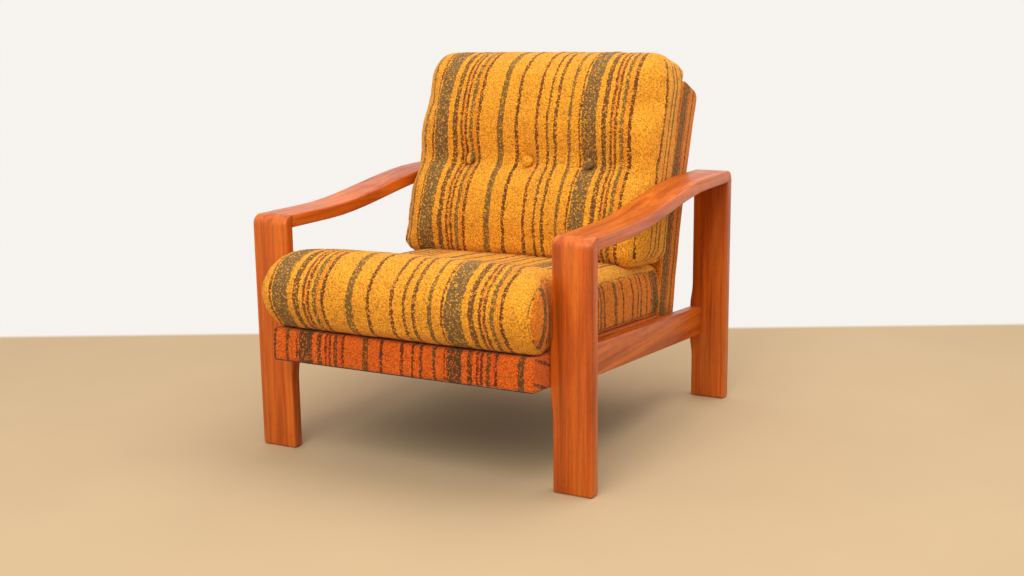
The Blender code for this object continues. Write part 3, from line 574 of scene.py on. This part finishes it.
def striped_cloth(name, yarns, start, repeat=REPEAT):
    """Nubby handwoven wool, striped along its length. Its wide brown stripe starts at a given place."""
    made = Finish(name, roughness=0.92, sheen_weight=0.22, sheen_roughness=0.45, specular_ior_level=0.2)
    made.surface.inputs["Sheen Tint"].default_value = linear((255, 214, 160))
    cloth = made.node("UVMap", uv_map="cloth").outputs[0]
    nubs = made.node("TexVoronoi", {"Vector": cloth, "Scale": 380.0, "Randomness": 0.85})
    yarn = made.node("SeparateColor", {0: nubs.outputs["Color"]})
    parts = made.node("SeparateXYZ", {0: nubs.outputs["Position"]})
    drift = made.maths("SUBTRACT", made.speckle(cloth, 9.0, 1.0), 0.5)
    across = made.maths("ADD", parts.outputs[0], made.maths("MULTIPLY", drift, 0.006))
    turn = made.maths("FRACT", made.maths("DIVIDE", made.maths("SUBTRACT", across, start), repeat))
    stops, place = [], 0.0
    for end, colour in STRIPES:
        stops.append((place / STRIPES[-1][0], linear(yarns[colour])))
        place = end
    stripes = made.ramp(turn, stops, "CONSTANT")
    loose = made.ramp(yarn.outputs[0], [(0.74, 0.0), (0.80, 0.72)])
    colour = made.mix(loose, stripes, linear(yarns["ochre"]))
    deep = made.ramp(yarn.outputs[1], [(0.84, 0.0), (0.90, 0.34)])
    colour = made.mix(deep, colour, linear(yarns["russet"]))
    tone = made.ramp(yarn.outputs[2], [(0.0, 0.82), (1.0, 1.16)])
    colour = made.shade(colour, tone)
    depth = made.maths("MULTIPLY", nubs.outputs["Distance"], nubs.outputs["Distance"])
    # Painted light and shade on the nubs: lighter on their tops, darker in the hollows between them.
    hollow = made.ramp(depth, [(0.04, 1.12), (0.30, 0.90), (0.60, 0.58)])
    colour = made.shade(colour, hollow)
    worn = made.ramp(made.speckle(cloth, 14.0, 3.0), [(0.3, 0.93), (0.7, 1.06)])
    fluff = made.speckle(cloth, 1400.0, 2.0)
    height = made.maths("SUBTRACT", made.maths("MULTIPLY", fluff, 0.3), depth)
    made.relief(height, 0.0017, 0.9)
    return made.paint(made.shade(colour, worn))


def teak(name, grain):
    """Oiled teak, its grain running along an axis: 0, 1 or 2 for x, y or z."""
    made = Finish(name, coat_weight=0.22, coat_roughness=0.26, specular_ior_level=0.3)
    where = made.place()
    figure = made.speckle(made.along(where, grain, 0.055), 46.0, 5.0, 0.55, 0.5)
    colour = made.ramp(figure, [
        (0.28, linear((150, 60, 6))), (0.46, linear((190, 84, 10))),
        (0.60, linear((210, 104, 22))), (0.78, linear((172, 72, 8))),
    ])
    streaks = made.speckle(made.along(where, grain, 0.02), 170.0, 4.0, 0.6)
    colour = made.shade(colour, made.ramp(streaks, [(0.34, 0.74), (0.58, 1.06)]))
    pores = made.speckle(made.along(where, grain, 0.05), 1100.0, 2.0)
    pored = made.ramp(pores, [(0.30, 0.55), (0.42, 1.0)])
    colour = made.shade(colour, pored, 0.8)
    broad = made.speckle(where, 5.0, 1.0)
    colour = made.shade(colour, made.ramp(broad, [(0.3, 0.88), (0.7, 1.08)]))
    rough = made.ramp(made.speckle(where, 26.0, 3.0), [(0.3, 0.34), (0.7, 0.50)])
    made.feed(made.surface.inputs["Roughness"], rough)
    made.relief(made.maths("ADD", pored, made.maths("MULTIPLY", streaks, 0.6)), 0.00025, 0.6)
    return made.paint(colour)


def plain_wood(name, light, dark, grain):
    made = Finish(name, roughness=0.7)
    fibre = made.along(made.place(), grain, 0.06)
    figure = made.speckle(fibre, 60.0, 4.0, 0.5, 0.4)
    colour = made.ramp(figure, [(0.3, linear(dark)), (0.65, linear(light))])
    flecks = made.speckle(fibre, 700.0, 2.0)
    made.relief(flecks, 0.0002, 0.5)
    return made.paint(made.shade(colour, made.ramp(flecks, [(0.3, 0.8), (0.5, 1.0)])))


def metal(name, colour, roughness):
    made = Finish(name, roughness=roughness, metallic=1.0)
    where = made.place()
    cloudy = made.speckle(where, 90.0, 4.0)
    tint = made.ramp(cloudy, [(0.3, linear([c * 0.86 for c in colour])), (0.7, linear(colour))])
    scratches = made.speckle(made.along(where, 2, 0.1), 900.0, 2.0)
    worn = made.ramp(cloudy, [(0.3, roughness - 0.06), (0.7, roughness + 0.1)])
    made.feed(made.surface.inputs["Roughness"], worn)
    made.relief(scratches, 0.0001, 0.4)
    return made.paint(tint)


def woven(name, colour, pitch, contrast=0.35):
    """Plain cloth with crossing threads a pitch apart, such as lining, webbing or zip tape."""
    made = Finish(name, roughness=0.88, sheen_weight=0.1)
    where = made.place()
    parts = made.node("SeparateXYZ", {0: where})
    turn = math.tau / pitch
    level = made.maths("ADD", parts.outputs[1], parts.outputs[2])
    waves = [made.maths("SINE", made.maths("MULTIPLY", run, turn)) for run in (parts.outputs[0], level)]
    threads = made.maths("MULTIPLY", *waves)
    weave = made.ramp(made.maths("MULTIPLY_ADD", threads, 0.5, 0.5), [(0.0, 1.0 - contrast), (1.0, 1.0)])
    cloudy = made.ramp(made.speckle(where, 45.0, 3.0), [(0.3, 0.85), (0.7, 1.05)])
    made.relief(threads, 0.0003, 0.6)
    return made.paint(made.shade(made.shade(linear(colour), weave), cloudy))


def wadding(name, colour, grain_size):
    """Loose fibre or cut foam: a pale cloudy body with fine open cells."""
    made = Finish(name, roughness=0.95, sheen_weight=0.15)
    where = made.place()
    cells = made.speckle(where, 1.0 / grain_size, 3.0, 0.6)
    made.relief(cells, grain_size * 0.4, 0.8)
    return made.paint(made.shade(linear(colour), made.ramp(cells, [(0.3, 0.72), (0.6, 1.05)])))


# ---------------------------------------------------------------- carried-over pieces


def eased():
    """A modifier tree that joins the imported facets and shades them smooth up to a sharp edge."""
    tree = bpy.data.node_groups.get("eased_edges")
    if tree:
        return tree
    tree = bpy.data.node_groups.new("eased_edges", "GeometryNodeTree")
    tree.interface.new_socket("Geometry", in_out="INPUT", socket_type="NodeSocketGeometry")
    tree.interface.new_socket("Geometry", in_out="OUTPUT", socket_type="NodeSocketGeometry")
    add, link = tree.nodes.new, tree.links.new
    start, end = add("NodeGroupInput"), add("NodeGroupOutput")
    drop = add("GeometryNodeRemoveAttribute")
    drop.inputs["Name"].default_value = "custom_normal"
    merge = add("GeometryNodeMergeByDistance")
    merge.inputs["Distance"].default_value = 0.00002
    faces, edges = add("GeometryNodeSetShadeSmooth"), add("GeometryNodeSetShadeSmooth")
    edges.domain = "EDGE"
    angle, sharp = add("GeometryNodeInputMeshEdgeAngle"), add("FunctionNodeCompare")
    sharp.operation = "GREATER_THAN"
    sharp.inputs[1].default_value = math.radians(38)
    edges.inputs["Shade Smooth"].default_value = False
    link(start.outputs[0], drop.inputs["Geometry"])
    link(drop.outputs[0], merge.inputs["Geometry"])
    link(merge.outputs[0], faces.inputs["Geometry"])
    link(faces.outputs[0], edges.inputs["Geometry"])
    link(angle.outputs["Unsigned Angle"], sharp.inputs[0])
    link(sharp.outputs[0], edges.inputs["Selection"])
    link(edges.outputs[0], end.inputs[0])
    return tree


def dress(name, material):
    """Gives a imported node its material, and smooth shading where its faces run round a curve."""
    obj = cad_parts[name]
    for part in obj.material_slots:
        part.material = material
    obj.modifiers.new("eased_edges", "NODES").node_group = eased()


def finish_cover(obj, material, body, fill, *nodes):
    """Puts the cloth on a soft piece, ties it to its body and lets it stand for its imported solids."""
    obj.data.materials.clear()
    obj.data.materials.append(material)
    obj.data.polygons.foreach_set("use_smooth", [True] * len(obj.data.polygons))
    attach(obj, body)
    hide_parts(*nodes)


# ---------------------------------------------------------------- settings


class ArmchairSizes(bpy.types.PropertyGroup):
    """Sizes of the soft pieces."""

    mesh_pitch: FloatProperty(
        name="Cloth mesh", description="Distance between points of the cloth before rounding",
        default=0.0068, min=0.004, unit="LENGTH",
    )
    seat_edge: FloatProperty(
        name="Seat edge", description="Rounding of the seat cushion's side edges",
        default=0.026, unit="LENGTH",
    )
    back_edge: FloatProperty(
        name="Back edge", description="Rounding of the back cushion's side edges",
        default=0.036, unit="LENGTH",
    )
    filling: FloatProperty(
        name="Filling", description="How hard the cushions are blown out", default=4.0, min=0.0,
    )
    tuft_depth: FloatProperty(
        name="Tuft depth", description="How far each button draws the back cushion in", default=0.017,
        unit="LENGTH",
    )
    tuft_reach: FloatProperty(
        name="Tuft reach", description="Radius of the pit round a button", default=0.026, unit="LENGTH",
    )
    button_segments: IntProperty(name="Button segments", description="Points round a button", default=32)


class ArmchairColours(bpy.types.PropertyGroup):
    """Colours of the stage."""

    floor: FloatVectorProperty(
        name="Floor", description="Colour of the floor", subtype="COLOR", size=3,
        default=linear((190, 165, 130))[:3],
    )
    backdrop: FloatVectorProperty(
        name="Backdrop", description="Colour of the wall and sky", subtype="COLOR", size=3,
        default=linear((250, 246, 241))[:3],
    )


class ArmchairSettings(bpy.types.PropertyGroup):
    """Everything a user may change."""

    sizes: PointerProperty(type=ArmchairSizes, name="Sizes", description="Sizes of the soft pieces")
    colours: PointerProperty(type=ArmchairColours, name="Colours", description="Colours of the stage")


# ---------------------------------------------------------------- operators


class ARMCHAIR_OT_side_frames(bpy.types.Operator):
    """Finishes the two side frames in oiled teak, with the grain along each piece."""

    bl_idname = "armchair.side_frames"
    bl_label = "Side frames"

    def execute(self, context):
        upright, level = teak("teak_upright", 2), teak("teak_level", 1)
        for side in ("left", "right"):
            dress(f"front_leg_{side}", upright)
            dress(f"rear_leg_{side}", upright)
            dress(f"armrest_{side}", level)
            dress(f"side_rail_{side}", level)
        return {"FINISHED"}


class ARMCHAIR_OT_joinery(bpy.types.Operator):
    """Finishes the dowels, the frame and unit bolts and the brass inserts."""

    bl_idname = "armchair.joinery"
    bl_label = "Dowels and bolts"

    def execute(self, context):
        beech = plain_wood("beech_dowel", (214, 174, 126), (184, 140, 94), 2)
        zinc = metal("zinc_plated_steel", (190, 192, 196), 0.34)
        brass = metal("plain_brass", (206, 164, 88), 0.36)
        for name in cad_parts:
            if "_dowel_" in name:
                dress(name, beech)
            elif "bolt" in name:
                dress(name, zinc)
            elif "insert" in name:
                dress(name, brass)
        return {"FINISHED"}


class ARMCHAIR_OT_inner_frame(bpy.types.Operator):
    """Finishes what the upholstery covers: rails, springs, straps, wadding and the dust cover."""

    bl_idname = "armchair.inner_frame"
    bl_label = "Inner frame"

    def execute(self, context):
        pine_across, pine_along, pine_up = (
            plain_wood(name, (222, 188, 136), (196, 150, 96), grain)
            for grain, name in enumerate(("pine_across", "pine_along", "pine_upright"))
        )
        finishes = {
            "seat_front_rail": pine_across, "seat_rear_rail": pine_across,
            "back_top_rail": pine_across, "back_bottom_rail": pine_across,
            "seat_side_rail": pine_along, "corner_block": pine_along, "back_stile": pine_up,
            "seat_spring": metal("spring_wire", (98, 98, 102), 0.42),
            "deck_pad": wadding("cotton_wadding", (226, 216, 196), 0.0018),
            "back_pad": wadding("cotton_wadding_back", (226, 216, 196), 0.0018),
            "back_strap": woven("jute_webbing", (168, 132, 84), 0.0032),
            "dust_cover": woven("black_lining", (46, 40, 36), 0.0012),
        }
        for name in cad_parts:
            for start, material in finishes.items():
                if name.startswith(start):
                    dress(name, material)
        return {"FINISHED"}


class ARMCHAIR_OT_seat_box(bpy.types.Operator):
    """Makes the cloth pulled over the seat frame, with its stripes turned along the sides."""

    bl_idname = "armchair.seat_box"
    bl_label = "Seat box cover"

    def execute(self, context):
        outline = rounded_outline(
            from_seat, (BOX_FRONT, -BOX_HALF_HEIGHT), (BOX_REAR, BOX_HALF_HEIGHT), BOX_EDGE, BOX_EDGE,
        )
        obj = cover(
            "seat_box_cloth", outline, BOX_HALF_WIDTH, BOX_EDGE, BOX_PITCH, self.side_cloth,
            inset=CLOTH_INSET, wide=BOX_WIDE,
        )
        mesh = subdivided(obj)
        points = points_of(mesh)
        along, above = to_seat(points[:, 1], points[:, 2])
        front = np.clip((BOX_FRONT + 0.02 - along) / 0.02, 0, 1)
        lift = front * 0.0016 * np.cos(math.pi * above / (2 * BOX_HALF_HEIGHT))
        lift += 0.0005 * unevenness(points, 0.045, 3) * (0.3 + front)
        lift += 0.5 * NUB_HEIGHT * unevenness(points, NUB_SIZE, 4)
        moved = points + normals_of(mesh) * lift[:, None]
        moved[:, 0] = np.clip(moved[:, 0], -BOX_HALF_WIDTH, BOX_HALF_WIDTH)
        above = to_seat(moved[:, 1], moved[:, 2])[1]
        raise_points(moved, np.clip(above, -BOX_HALF_HEIGHT, BOX_HALF_HEIGHT) - above)
        set_points(mesh, moved)
        open_cover(mesh, underneath)
        thicken(obj)
        # The seat box takes the fixed yarns, darkened in part as painted shade under the seat cushion.
        finish = striped_cloth("seat_box_cloth", FIXED_YARNS_WITH_PAINTED_SHADE, FIXED_START, BOX_REPEAT)
        finish_cover(obj, finish, "chair_frame", 0.3, "seat_box_cover")
        return {"FINISHED"}

    def side_cloth(self, y, z):
        """The stripes turn the corner and run back along the sides, rising a little."""
        along, above = to_seat(y, z)
        return (above + 0.35 * along, along)


def underneath(x, y, z):
    """True well inside the seat box's underside, which the dust cover closes."""
    along, above = to_seat(y, z)
    inside = BOX_FRONT + BOX_HEM < along < BOX_REAR - BOX_HEM and abs(x) < BOX_HALF_WIDTH - BOX_HEM
    return inside and above < -BOX_HALF_HEIGHT + HEM_DEPTH


def open_cover(mesh, hidden):
    """Takes out the faces where the cover is left open, over a lining or another piece."""
    work = bmesh.new()
    work.from_mesh(mesh)
    gone = [face for face in work.faces if hidden(*face.calc_center_median())]
    bmesh.ops.delete(work, geom=gone, context="FACES")
    work.to_mesh(mesh)
    work.free()


def thicken(obj):
    """Gives an open cover the thickness of its cloth, inwards."""
    skin = obj.modifiers.new("cloth_thickness", "SOLIDIFY")
    skin.thickness = CLOTH_THICKNESS
    skin.offset = -1.0


class ARMCHAIR_OT_back_panel(bpy.types.Operator):
    """Makes the cloth pulled over the back frame, bowed a little at the rear."""

    bl_idname = "armchair.back_panel"
    bl_label = "Back panel cover"

    def execute(self, context):
        outline = rounded_outline(
            on_back, (0.0, -PANEL_THICKNESS), (PANEL_LENGTH, 0.0), PANEL_FOOT_RADIUS, PANEL_TOP_RADIUS,
        )
        obj = cover(
            "back_panel_cloth", outline, PANEL_HALF_WIDTH, PANEL_EDGE, PANEL_PITCH, self.side_cloth,
            inset=CLOTH_INSET, wide=PANEL_WIDE,
        )
        mesh = subdivided(obj)
        points = points_of(mesh)
        rise, forward = to_back(points[:, 1], points[:, 2])
        rear = np.clip((-forward - PANEL_THICKNESS + 0.02) / 0.02, 0, 1)
        across = np.cos(math.pi * points[:, 0] / (2 * PANEL_HALF_WIDTH))
        up = np.sin(math.pi * np.clip(rise / PANEL_LENGTH, 0, 1))
        lift = 0.004 * rear * across * up + 0.0006 * unevenness(points, 0.05, 7)
        lift += 0.5 * NUB_HEIGHT * unevenness(points, NUB_SIZE, 8)
        lift *= np.where(forward > -0.012, 0.0, 1.0)
        lift -= 0.0012 * seams_of(mesh) ** 2
        set_points(mesh, points + normals_of(mesh) * lift[:, None])
        open_cover(mesh, foot_opening)
        thicken(obj)
        finish = striped_cloth("back_panel_cloth", PANEL_YARNS, FIXED_START)
        finish_cover(obj, finish, "chair_frame", 0.3, "back_panel_cover")
        return {"FINISHED"}

    def side_cloth(self, y, z):
        """The stripes run up the sides, the wide brown one near the front."""
        rise, forward = to_back(y, z)
        return (forward - 0.176, rise)


def foot_opening(x, y, z):
    """True inside the underside of the back panel, which is left open."""
    rise, forward = to_back(y, z)
    inside = abs(x) < PANEL_HALF_WIDTH - PANEL_HEM and -PANEL_THICKNESS + PANEL_HEM < forward < -PANEL_HEM
    return rise < HEM_DEPTH and inside


class ARMCHAIR_OT_seat_cushion(bpy.types.Operator):
    """Makes the loose seat cushion: a crowned, round-nosed cover, filled and sewn with side panels."""

    bl_idname = "armchair.seat_cushion"
    bl_label = "Seat cushion"

    def execute(self, context):
        sizes = context.scene.armchair.sizes
        obj = cover(
            "seat_cushion", seat_outline(), SEAT_HALF_WIDTH, sizes.seat_edge, sizes.mesh_pitch,
            lambda y, z: (y, z), CUSHION_DROOP, CUSHION_BULGE, CUSHION_INSET,
        )
        points = points_of(obj.data)
        nose = np.clip((FRONT_Y + 0.012 - points[:, 1]) / 0.05, 0, 1)
        points[:, 0] *= 1 + FLARE * nose * nose * (3 - 2 * nose)
        points[:, 1] -= NOSE_REACH * nose
        set_points(obj.data, points)
        above = to_seat(points[:, 1], points[:, 2])[1]
        held = np.clip((CUSHION_BASE + HELD_BAND - above) / HELD_BAND, 0, 1)
        stuff(obj, held, SEAT_SWELL, sizes.filling, SEAT_UNEVEN, 11, self.keep_clear)
        finish = striped_cloth("seat_cushion_cloth", LOOSE_YARNS, SEAT_START, SEAT_REPEAT)
        finish_cover(obj, finish, "seat_cushion", 0.75, "seat_cushion_cover", "seat_cushion_core")
        # The side panels get the darker, more orange panel yarns: painted shade on the cushion's sides.
        obj.data.materials.append(striped_cloth("seat_side_painted_shade_cloth", PANEL_YARNS, SEAT_SIDE_START))
        panel_faces(obj.data, 1)
        return {"FINISHED"}

    def keep_clear(self, points):
        """It lies flat on the seat and stops at the back panel and the rails."""
        free = np.clip((FRONT_Y - 0.004 - points[:, 1]) / 0.02, 0, 1) * 0.014
        points[:, 0] = np.clip(points[:, 0], -SEAT_WIDEST - free, SEAT_WIDEST + free)
        above = to_seat(points[:, 1], points[:, 2])[1]
        raise_points(points, np.maximum(CUSHION_BASE + SEAT_REST - above, 0))
        forward = to_back(points[:, 1], points[:, 2])[1]
        points[:, 1] -= np.maximum(SEAT_CLEAR - forward, 0)


def panel_faces(mesh, slot):
    """The sewn-in side panels, whose cloth runs with y, take another slot's cloth: the same stripes in
    darker, more orange yarns, painted shade on the cushion's sides.
    """
    first = [face.loop_start for face in mesh.polygons]
    run = values_of(mesh.uv_layers["cloth"].data, "uv", 2)[first, 0]
    astray = np.abs(run - values_of(mesh.polygons, "center")[:, 1])
    side = (astray < 0.012) & (np.abs(values_of(mesh.polygons, "normal")[:, 0]) > 0.5)
    mesh.polygons.foreach_set("material_index", np.where(side, slot, 0).astype(np.int32))


class ARMCHAIR_OT_back_cushion(bpy.types.Operator):
    """Makes the loose back cushion: a deep filled cover, drawn in by three buttons along one crease."""

    bl_idname = "armchair.back_cushion"
    bl_label = "Back cushion"

    def execute(self, context):
        sizes = context.scene.armchair.sizes
        obj = cover(
            "back_cushion", back_outline(), BACK_HALF_WIDTH, sizes.back_edge, sizes.mesh_pitch,
            self.side_cloth, CUSHION_DROOP, CUSHION_BULGE, CUSHION_INSET,
        )
        points = points_of(obj.data)
        rise, forward = to_back(points[:, 1], points[:, 2])
        rise -= rise_over_seat(SEAT_PLATEAU, 0.13)
        front = forward > 0.07
        points[:, 0] *= 1 + FLARE * np.clip(1 - rise / BACK_HEIGHT, 0, 1)
        held = np.clip((0.014 - forward) / HELD_BAND, 0, 1)
        crease = CREASE_HOLD * np.exp(-(((rise - CREASE_HEIGHT) / 0.007) ** 2))
        held = np.maximum(held, np.where(front, crease, 0.0))
        for x in BUTTON_XS:
            far = np.hypot(points[:, 0] - x, rise - CREASE_HEIGHT)
            pit = np.where(front, np.exp(-((far / sizes.tuft_reach) ** 2)), 0.0)
            points[:, 1] += sizes.tuft_depth * pit * math.cos(BUTTON_SLANT)
            points[:, 2] -= sizes.tuft_depth * pit * math.sin(BUTTON_SLANT)
            held = np.maximum(held, np.where(front & (far < BUTTON_HOLD), 1.0, 0.0))
        set_points(obj.data, points)
        stuff(obj, held, BACK_SWELL, sizes.filling, BACK_UNEVEN, 23, self.keep_clear)
        finish = striped_cloth("back_cushion_cloth", LOOSE_YARNS, BACK_START)
        finish_cover(obj, finish, "back_cushion", 0.8, "back_cushion_cover", "back_cushion_core")
        return {"FINISHED"}

    def side_cloth(self, y, z):
        """The stripes run up the sides."""
        rise, forward = to_back(y, z)
        return (0.135 - forward, rise)

    def keep_clear(self, points):
        """It rests on the seat cushion and leans on the panel."""
        points[:, 0] = np.clip(points[:, 0], -BACK_WIDEST, BACK_WIDEST)
        forward = to_back(points[:, 1], points[:, 2])[1]
        points[:, 1] -= np.maximum(BACK_CLEAR - forward, 0)
        above = to_seat(points[:, 1], points[:, 2])[1]
        raise_points(points, np.maximum(SEAT_PLATEAU + BACK_REST - above, 0))


class ARMCHAIR_OT_buttons(bpy.types.Operator):
    """Makes the three cloth-covered buttons and the twine that draws each one in."""

    bl_idname = "armchair.buttons"
    bl_label = "Buttons"

    def execute(self, context):
        cloth = striped_cloth("button_cloth", LOOSE_YARNS, BACK_START)
        segments = context.scene.armchair.sizes.button_segments
        for number, node in enumerate(BUTTONS, 1):
            obj = self.make(f"cloth_button_{number}", node, segments)
            obj.data.materials.append(cloth)
            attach(obj, "back_cushion")
            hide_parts(node)
        return {"FINISHED"}

    def make(self, name, node, segments):
        """A dome with a drawn-in rim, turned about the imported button's axis, and its twine."""
        tip, axis = packed_axis(node)
        tip = tip + axis * BUTTON_SINK
        profile = [
            (0.0, 0.0), (0.0036, 0.0002), (0.0068, 0.0006), (0.0092, 0.0013), (0.0107, 0.0024),
            (0.0115, 0.0038), (BUTTON_RADIUS, 0.0050), (0.0115, 0.0060), (0.0104, 0.0068), (0.0075, 0.0078),
            (0.0045, 0.0088), (0.0015, 0.0125), (0.0015, 0.0600),
        ]
        side = Vector((1.0, 0.0, 0.0))
        up = axis.cross(side).normalized()
        vertices, faces = [tuple(tip)], []
        for reach, depth in profile[1:]:
            for k in range(segments):
                angle = math.tau * k / segments
                spoke = side * (reach * math.cos(angle)) + up * (reach * math.sin(angle))
                vertices.append(tuple(tip + axis * depth + spoke))
        vertices.append(tuple(tip + axis * profile[-1][1]))
        for k in range(segments):
            faces.append((0, 1 + k, 1 + (k + 1) % segments))
        for ring in range(len(profile) - 2):
            base = 1 + ring * segments
            for k in range(segments):
                after = (k + 1) % segments
                faces.append((base + k, base + segments + k, base + segments + after, base + after))
        base, end = 1 + (len(profile) - 2) * segments, len(vertices) - 1
        for k in range(segments):
            faces.append((base + k, end, base + (k + 1) % segments))
        cloth = [(vertices[i][0], vertices[i][2]) for face in faces for i in face]
        mesh = cloth_mesh(name, vertices, faces, cloth)
        work = bmesh.new()
        work.from_mesh(mesh)
        bmesh.ops.recalc_face_normals(work, faces=work.faces)
        work.to_mesh(mesh)
        work.free()
        return placed(name, mesh)


def packed_axis(node):
    """The tip of a packed button and the direction from it into the cushion."""
    points = points_of(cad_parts[node].data)
    spine = np.linalg.svd(points - points.mean(0), full_matrices=False)[2][0]
    if spine[1] < 0:
        spine = -spine
    reach = (points - points.mean(0)) @ spine
    centre = (points.min(0) + points.max(0)) / 2
    tip = points.mean(0) + spine * reach.min()
    tip[0] = centre[0]
    return Vector(tip), Vector(spine).normalized()


class ARMCHAIR_OT_zips(bpy.types.Operator):
    """Finishes the zips at the rear of both loose cushions."""

    bl_idname = "armchair.zips"
    bl_label = "Zips"

    def execute(self, context):
        tape = woven("zip_tape", (132, 84, 38), 0.0014, 0.5)
        dress("seat_cushion_zip", tape)
        dress("back_cushion_zip", tape)
        return {"FINISHED"}


class ARMCHAIR_OT_stage(bpy.types.Operator):
    """Lays the floor, sets soft studio light and places the camera."""

    bl_idname = "armchair.stage"
    bl_label = "Stage"

    def execute(self, context):
        scene, colours = context.scene, context.scene.armchair.colours
        floor = self.make_floor(colours)
        scene.world = bpy.data.worlds.new("studio")
        scene.world.use_nodes = True
        sky = scene.world.node_tree.nodes["Background"]
        sky.inputs["Color"].default_value = (*colours.backdrop, 1.0)
        sky.inputs["Strength"].default_value = WALL_STRENGTH
        self.add_lamp("key", (0.5, -2.6, 2.8), (0.0, 0.0, 0.3), 2.2, 62.0, (1.0, 0.965, 0.92))
        self.add_lamp("top", (0.9, 0.3, 2.8), (0.0, 0.0, 0.2), 2.0, 30.0, (1.0, 0.98, 0.95))
        self.add_camera(scene)
        scene.view_settings.view_transform = "Standard"
        return {"FINISHED"}

    def make_floor(self, colours):
        """A wide level floor, pale round the chair and in the backdrop's colour beyond a line."""
        mesh = bpy.data.meshes.new("floor")
        corners = [(x * FLOOR_REACH, y * FLOOR_REACH, 0.0) for x, y in ((-1, -1), (1, -1), (1, 1), (-1, 1))]
        mesh.from_pydata(corners, [], [(0, 1, 2, 3)])
        floor = placed("floor", mesh)
        floor.location.z = -0.0004
        made = Finish("floor", roughness=0.85, specular_ior_level=0.2)
        where = made.place()
        parts = made.node("SeparateXYZ", {0: where})
        beyond = made.maths(
            "ADD",
            made.maths("MULTIPLY", parts.outputs[0], -math.sin(VIEW_AZIMUTH)),
            made.maths("MULTIPLY", parts.outputs[1], math.cos(VIEW_AZIMUTH)),
        )
        past = made.maths("DIVIDE", made.maths("SUBTRACT", beyond, WALL_LINE), WALL_BLEND)
        edge = made.ramp(past, [(0.0, 0.0), (1.0, 1.0)])
        mottle = made.ramp(made.speckle(where, 3.0, 2.0), [(0.3, 0.975), (0.7, 1.015)])
        made.paint(made.shade((*colours.floor, 1.0), mottle))
        glow = made.node("Emission", {"Color": (*colours.backdrop, 1.0), "Strength": WALL_STRENGTH})
        both = made.node("MixShader", {0: edge, 1: made.surface.outputs[0], 2: glow.outputs[0]})
        made.feed(made.tree.nodes["Material Output"].inputs["Surface"], both.outputs[0])
        mesh.materials.append(made.material)
        return floor

    def add_lamp(self, name, place, target, size, power, colour):
        lamp = bpy.data.lights.new(name, "AREA")
        lamp.shape = "DISK"
        lamp.size, lamp.energy, lamp.color = size, power, colour
        obj = placed(name, lamp)
        obj.location = place
        obj.rotation_euler = (Vector(target) - Vector(place)).to_track_quat("-Z", "Y").to_euler()

    def add_camera(self, scene):
        """Looks down at the chair from its front right, with the camera held almost level."""
        right = Vector((math.cos(VIEW_AZIMUTH), math.sin(VIEW_AZIMUTH), 0.0))
        level = Vector((math.sin(VIEW_AZIMUTH), -math.cos(VIEW_AZIMUTH), 0.0))
        back = level * math.cos(VIEW_ELEVATION) + Vector((0.0, 0.0, math.sin(VIEW_ELEVATION)))
        up = back.cross(right)
        turned_right = right * math.cos(VIEW_ROLL) + up * math.sin(VIEW_ROLL)
        turned_up = up * math.cos(VIEW_ROLL) - right * math.sin(VIEW_ROLL)
        lens = bpy.data.cameras.new("camera")
        lens.lens, lens.sensor_width = VIEW_LENS, 36.0
        camera = placed("camera", lens)
        turn = Matrix((turned_right, turned_up, back)).transposed().to_4x4()
        camera.matrix_world = Matrix.Translation(VIEW_PLACE) @ turn
        scene.camera = camera


OPERATORS = (
    ARMCHAIR_OT_side_frames, ARMCHAIR_OT_joinery, ARMCHAIR_OT_inner_frame, ARMCHAIR_OT_seat_box,
    ARMCHAIR_OT_back_panel, ARMCHAIR_OT_seat_cushion, ARMCHAIR_OT_back_cushion, ARMCHAIR_OT_buttons,
    ARMCHAIR_OT_zips, ARMCHAIR_OT_stage,
)


class ARMCHAIR_PT_panel(bpy.types.Panel):
    """Lists the armchair's pieces and settings."""

    bl_idname = "ARMCHAIR_PT_panel"
    bl_label = "Armchair"
    bl_space_type = "VIEW_3D"
    bl_region_type = "UI"
    bl_category = "Armchair"

    def draw(self, context):
        settings = context.scene.armchair
        for operator in OPERATORS:
            self.layout.operator(operator.bl_idname)
        for group in (settings.sizes, settings.colours):
            for name in group.__annotations__:
                self.layout.prop(group, name)


CLASSES = (ArmchairSizes, ArmchairColours, ArmchairSettings, *OPERATORS, ARMCHAIR_PT_panel)


def register():
    for cls in CLASSES:
        bpy.utils.register_class(cls)
    bpy.types.Scene.armchair = PointerProperty(type=ArmchairSettings)


def unregister():
    del bpy.types.Scene.armchair
    for cls in reversed(CLASSES):
        bpy.utils.unregister_class(cls)


def main():
    register()
    for operator in OPERATORS:
        group, name = operator.bl_idname.split(".")
        getattr(getattr(bpy.ops, group), name)()


if __name__ == "__main__":
    main()
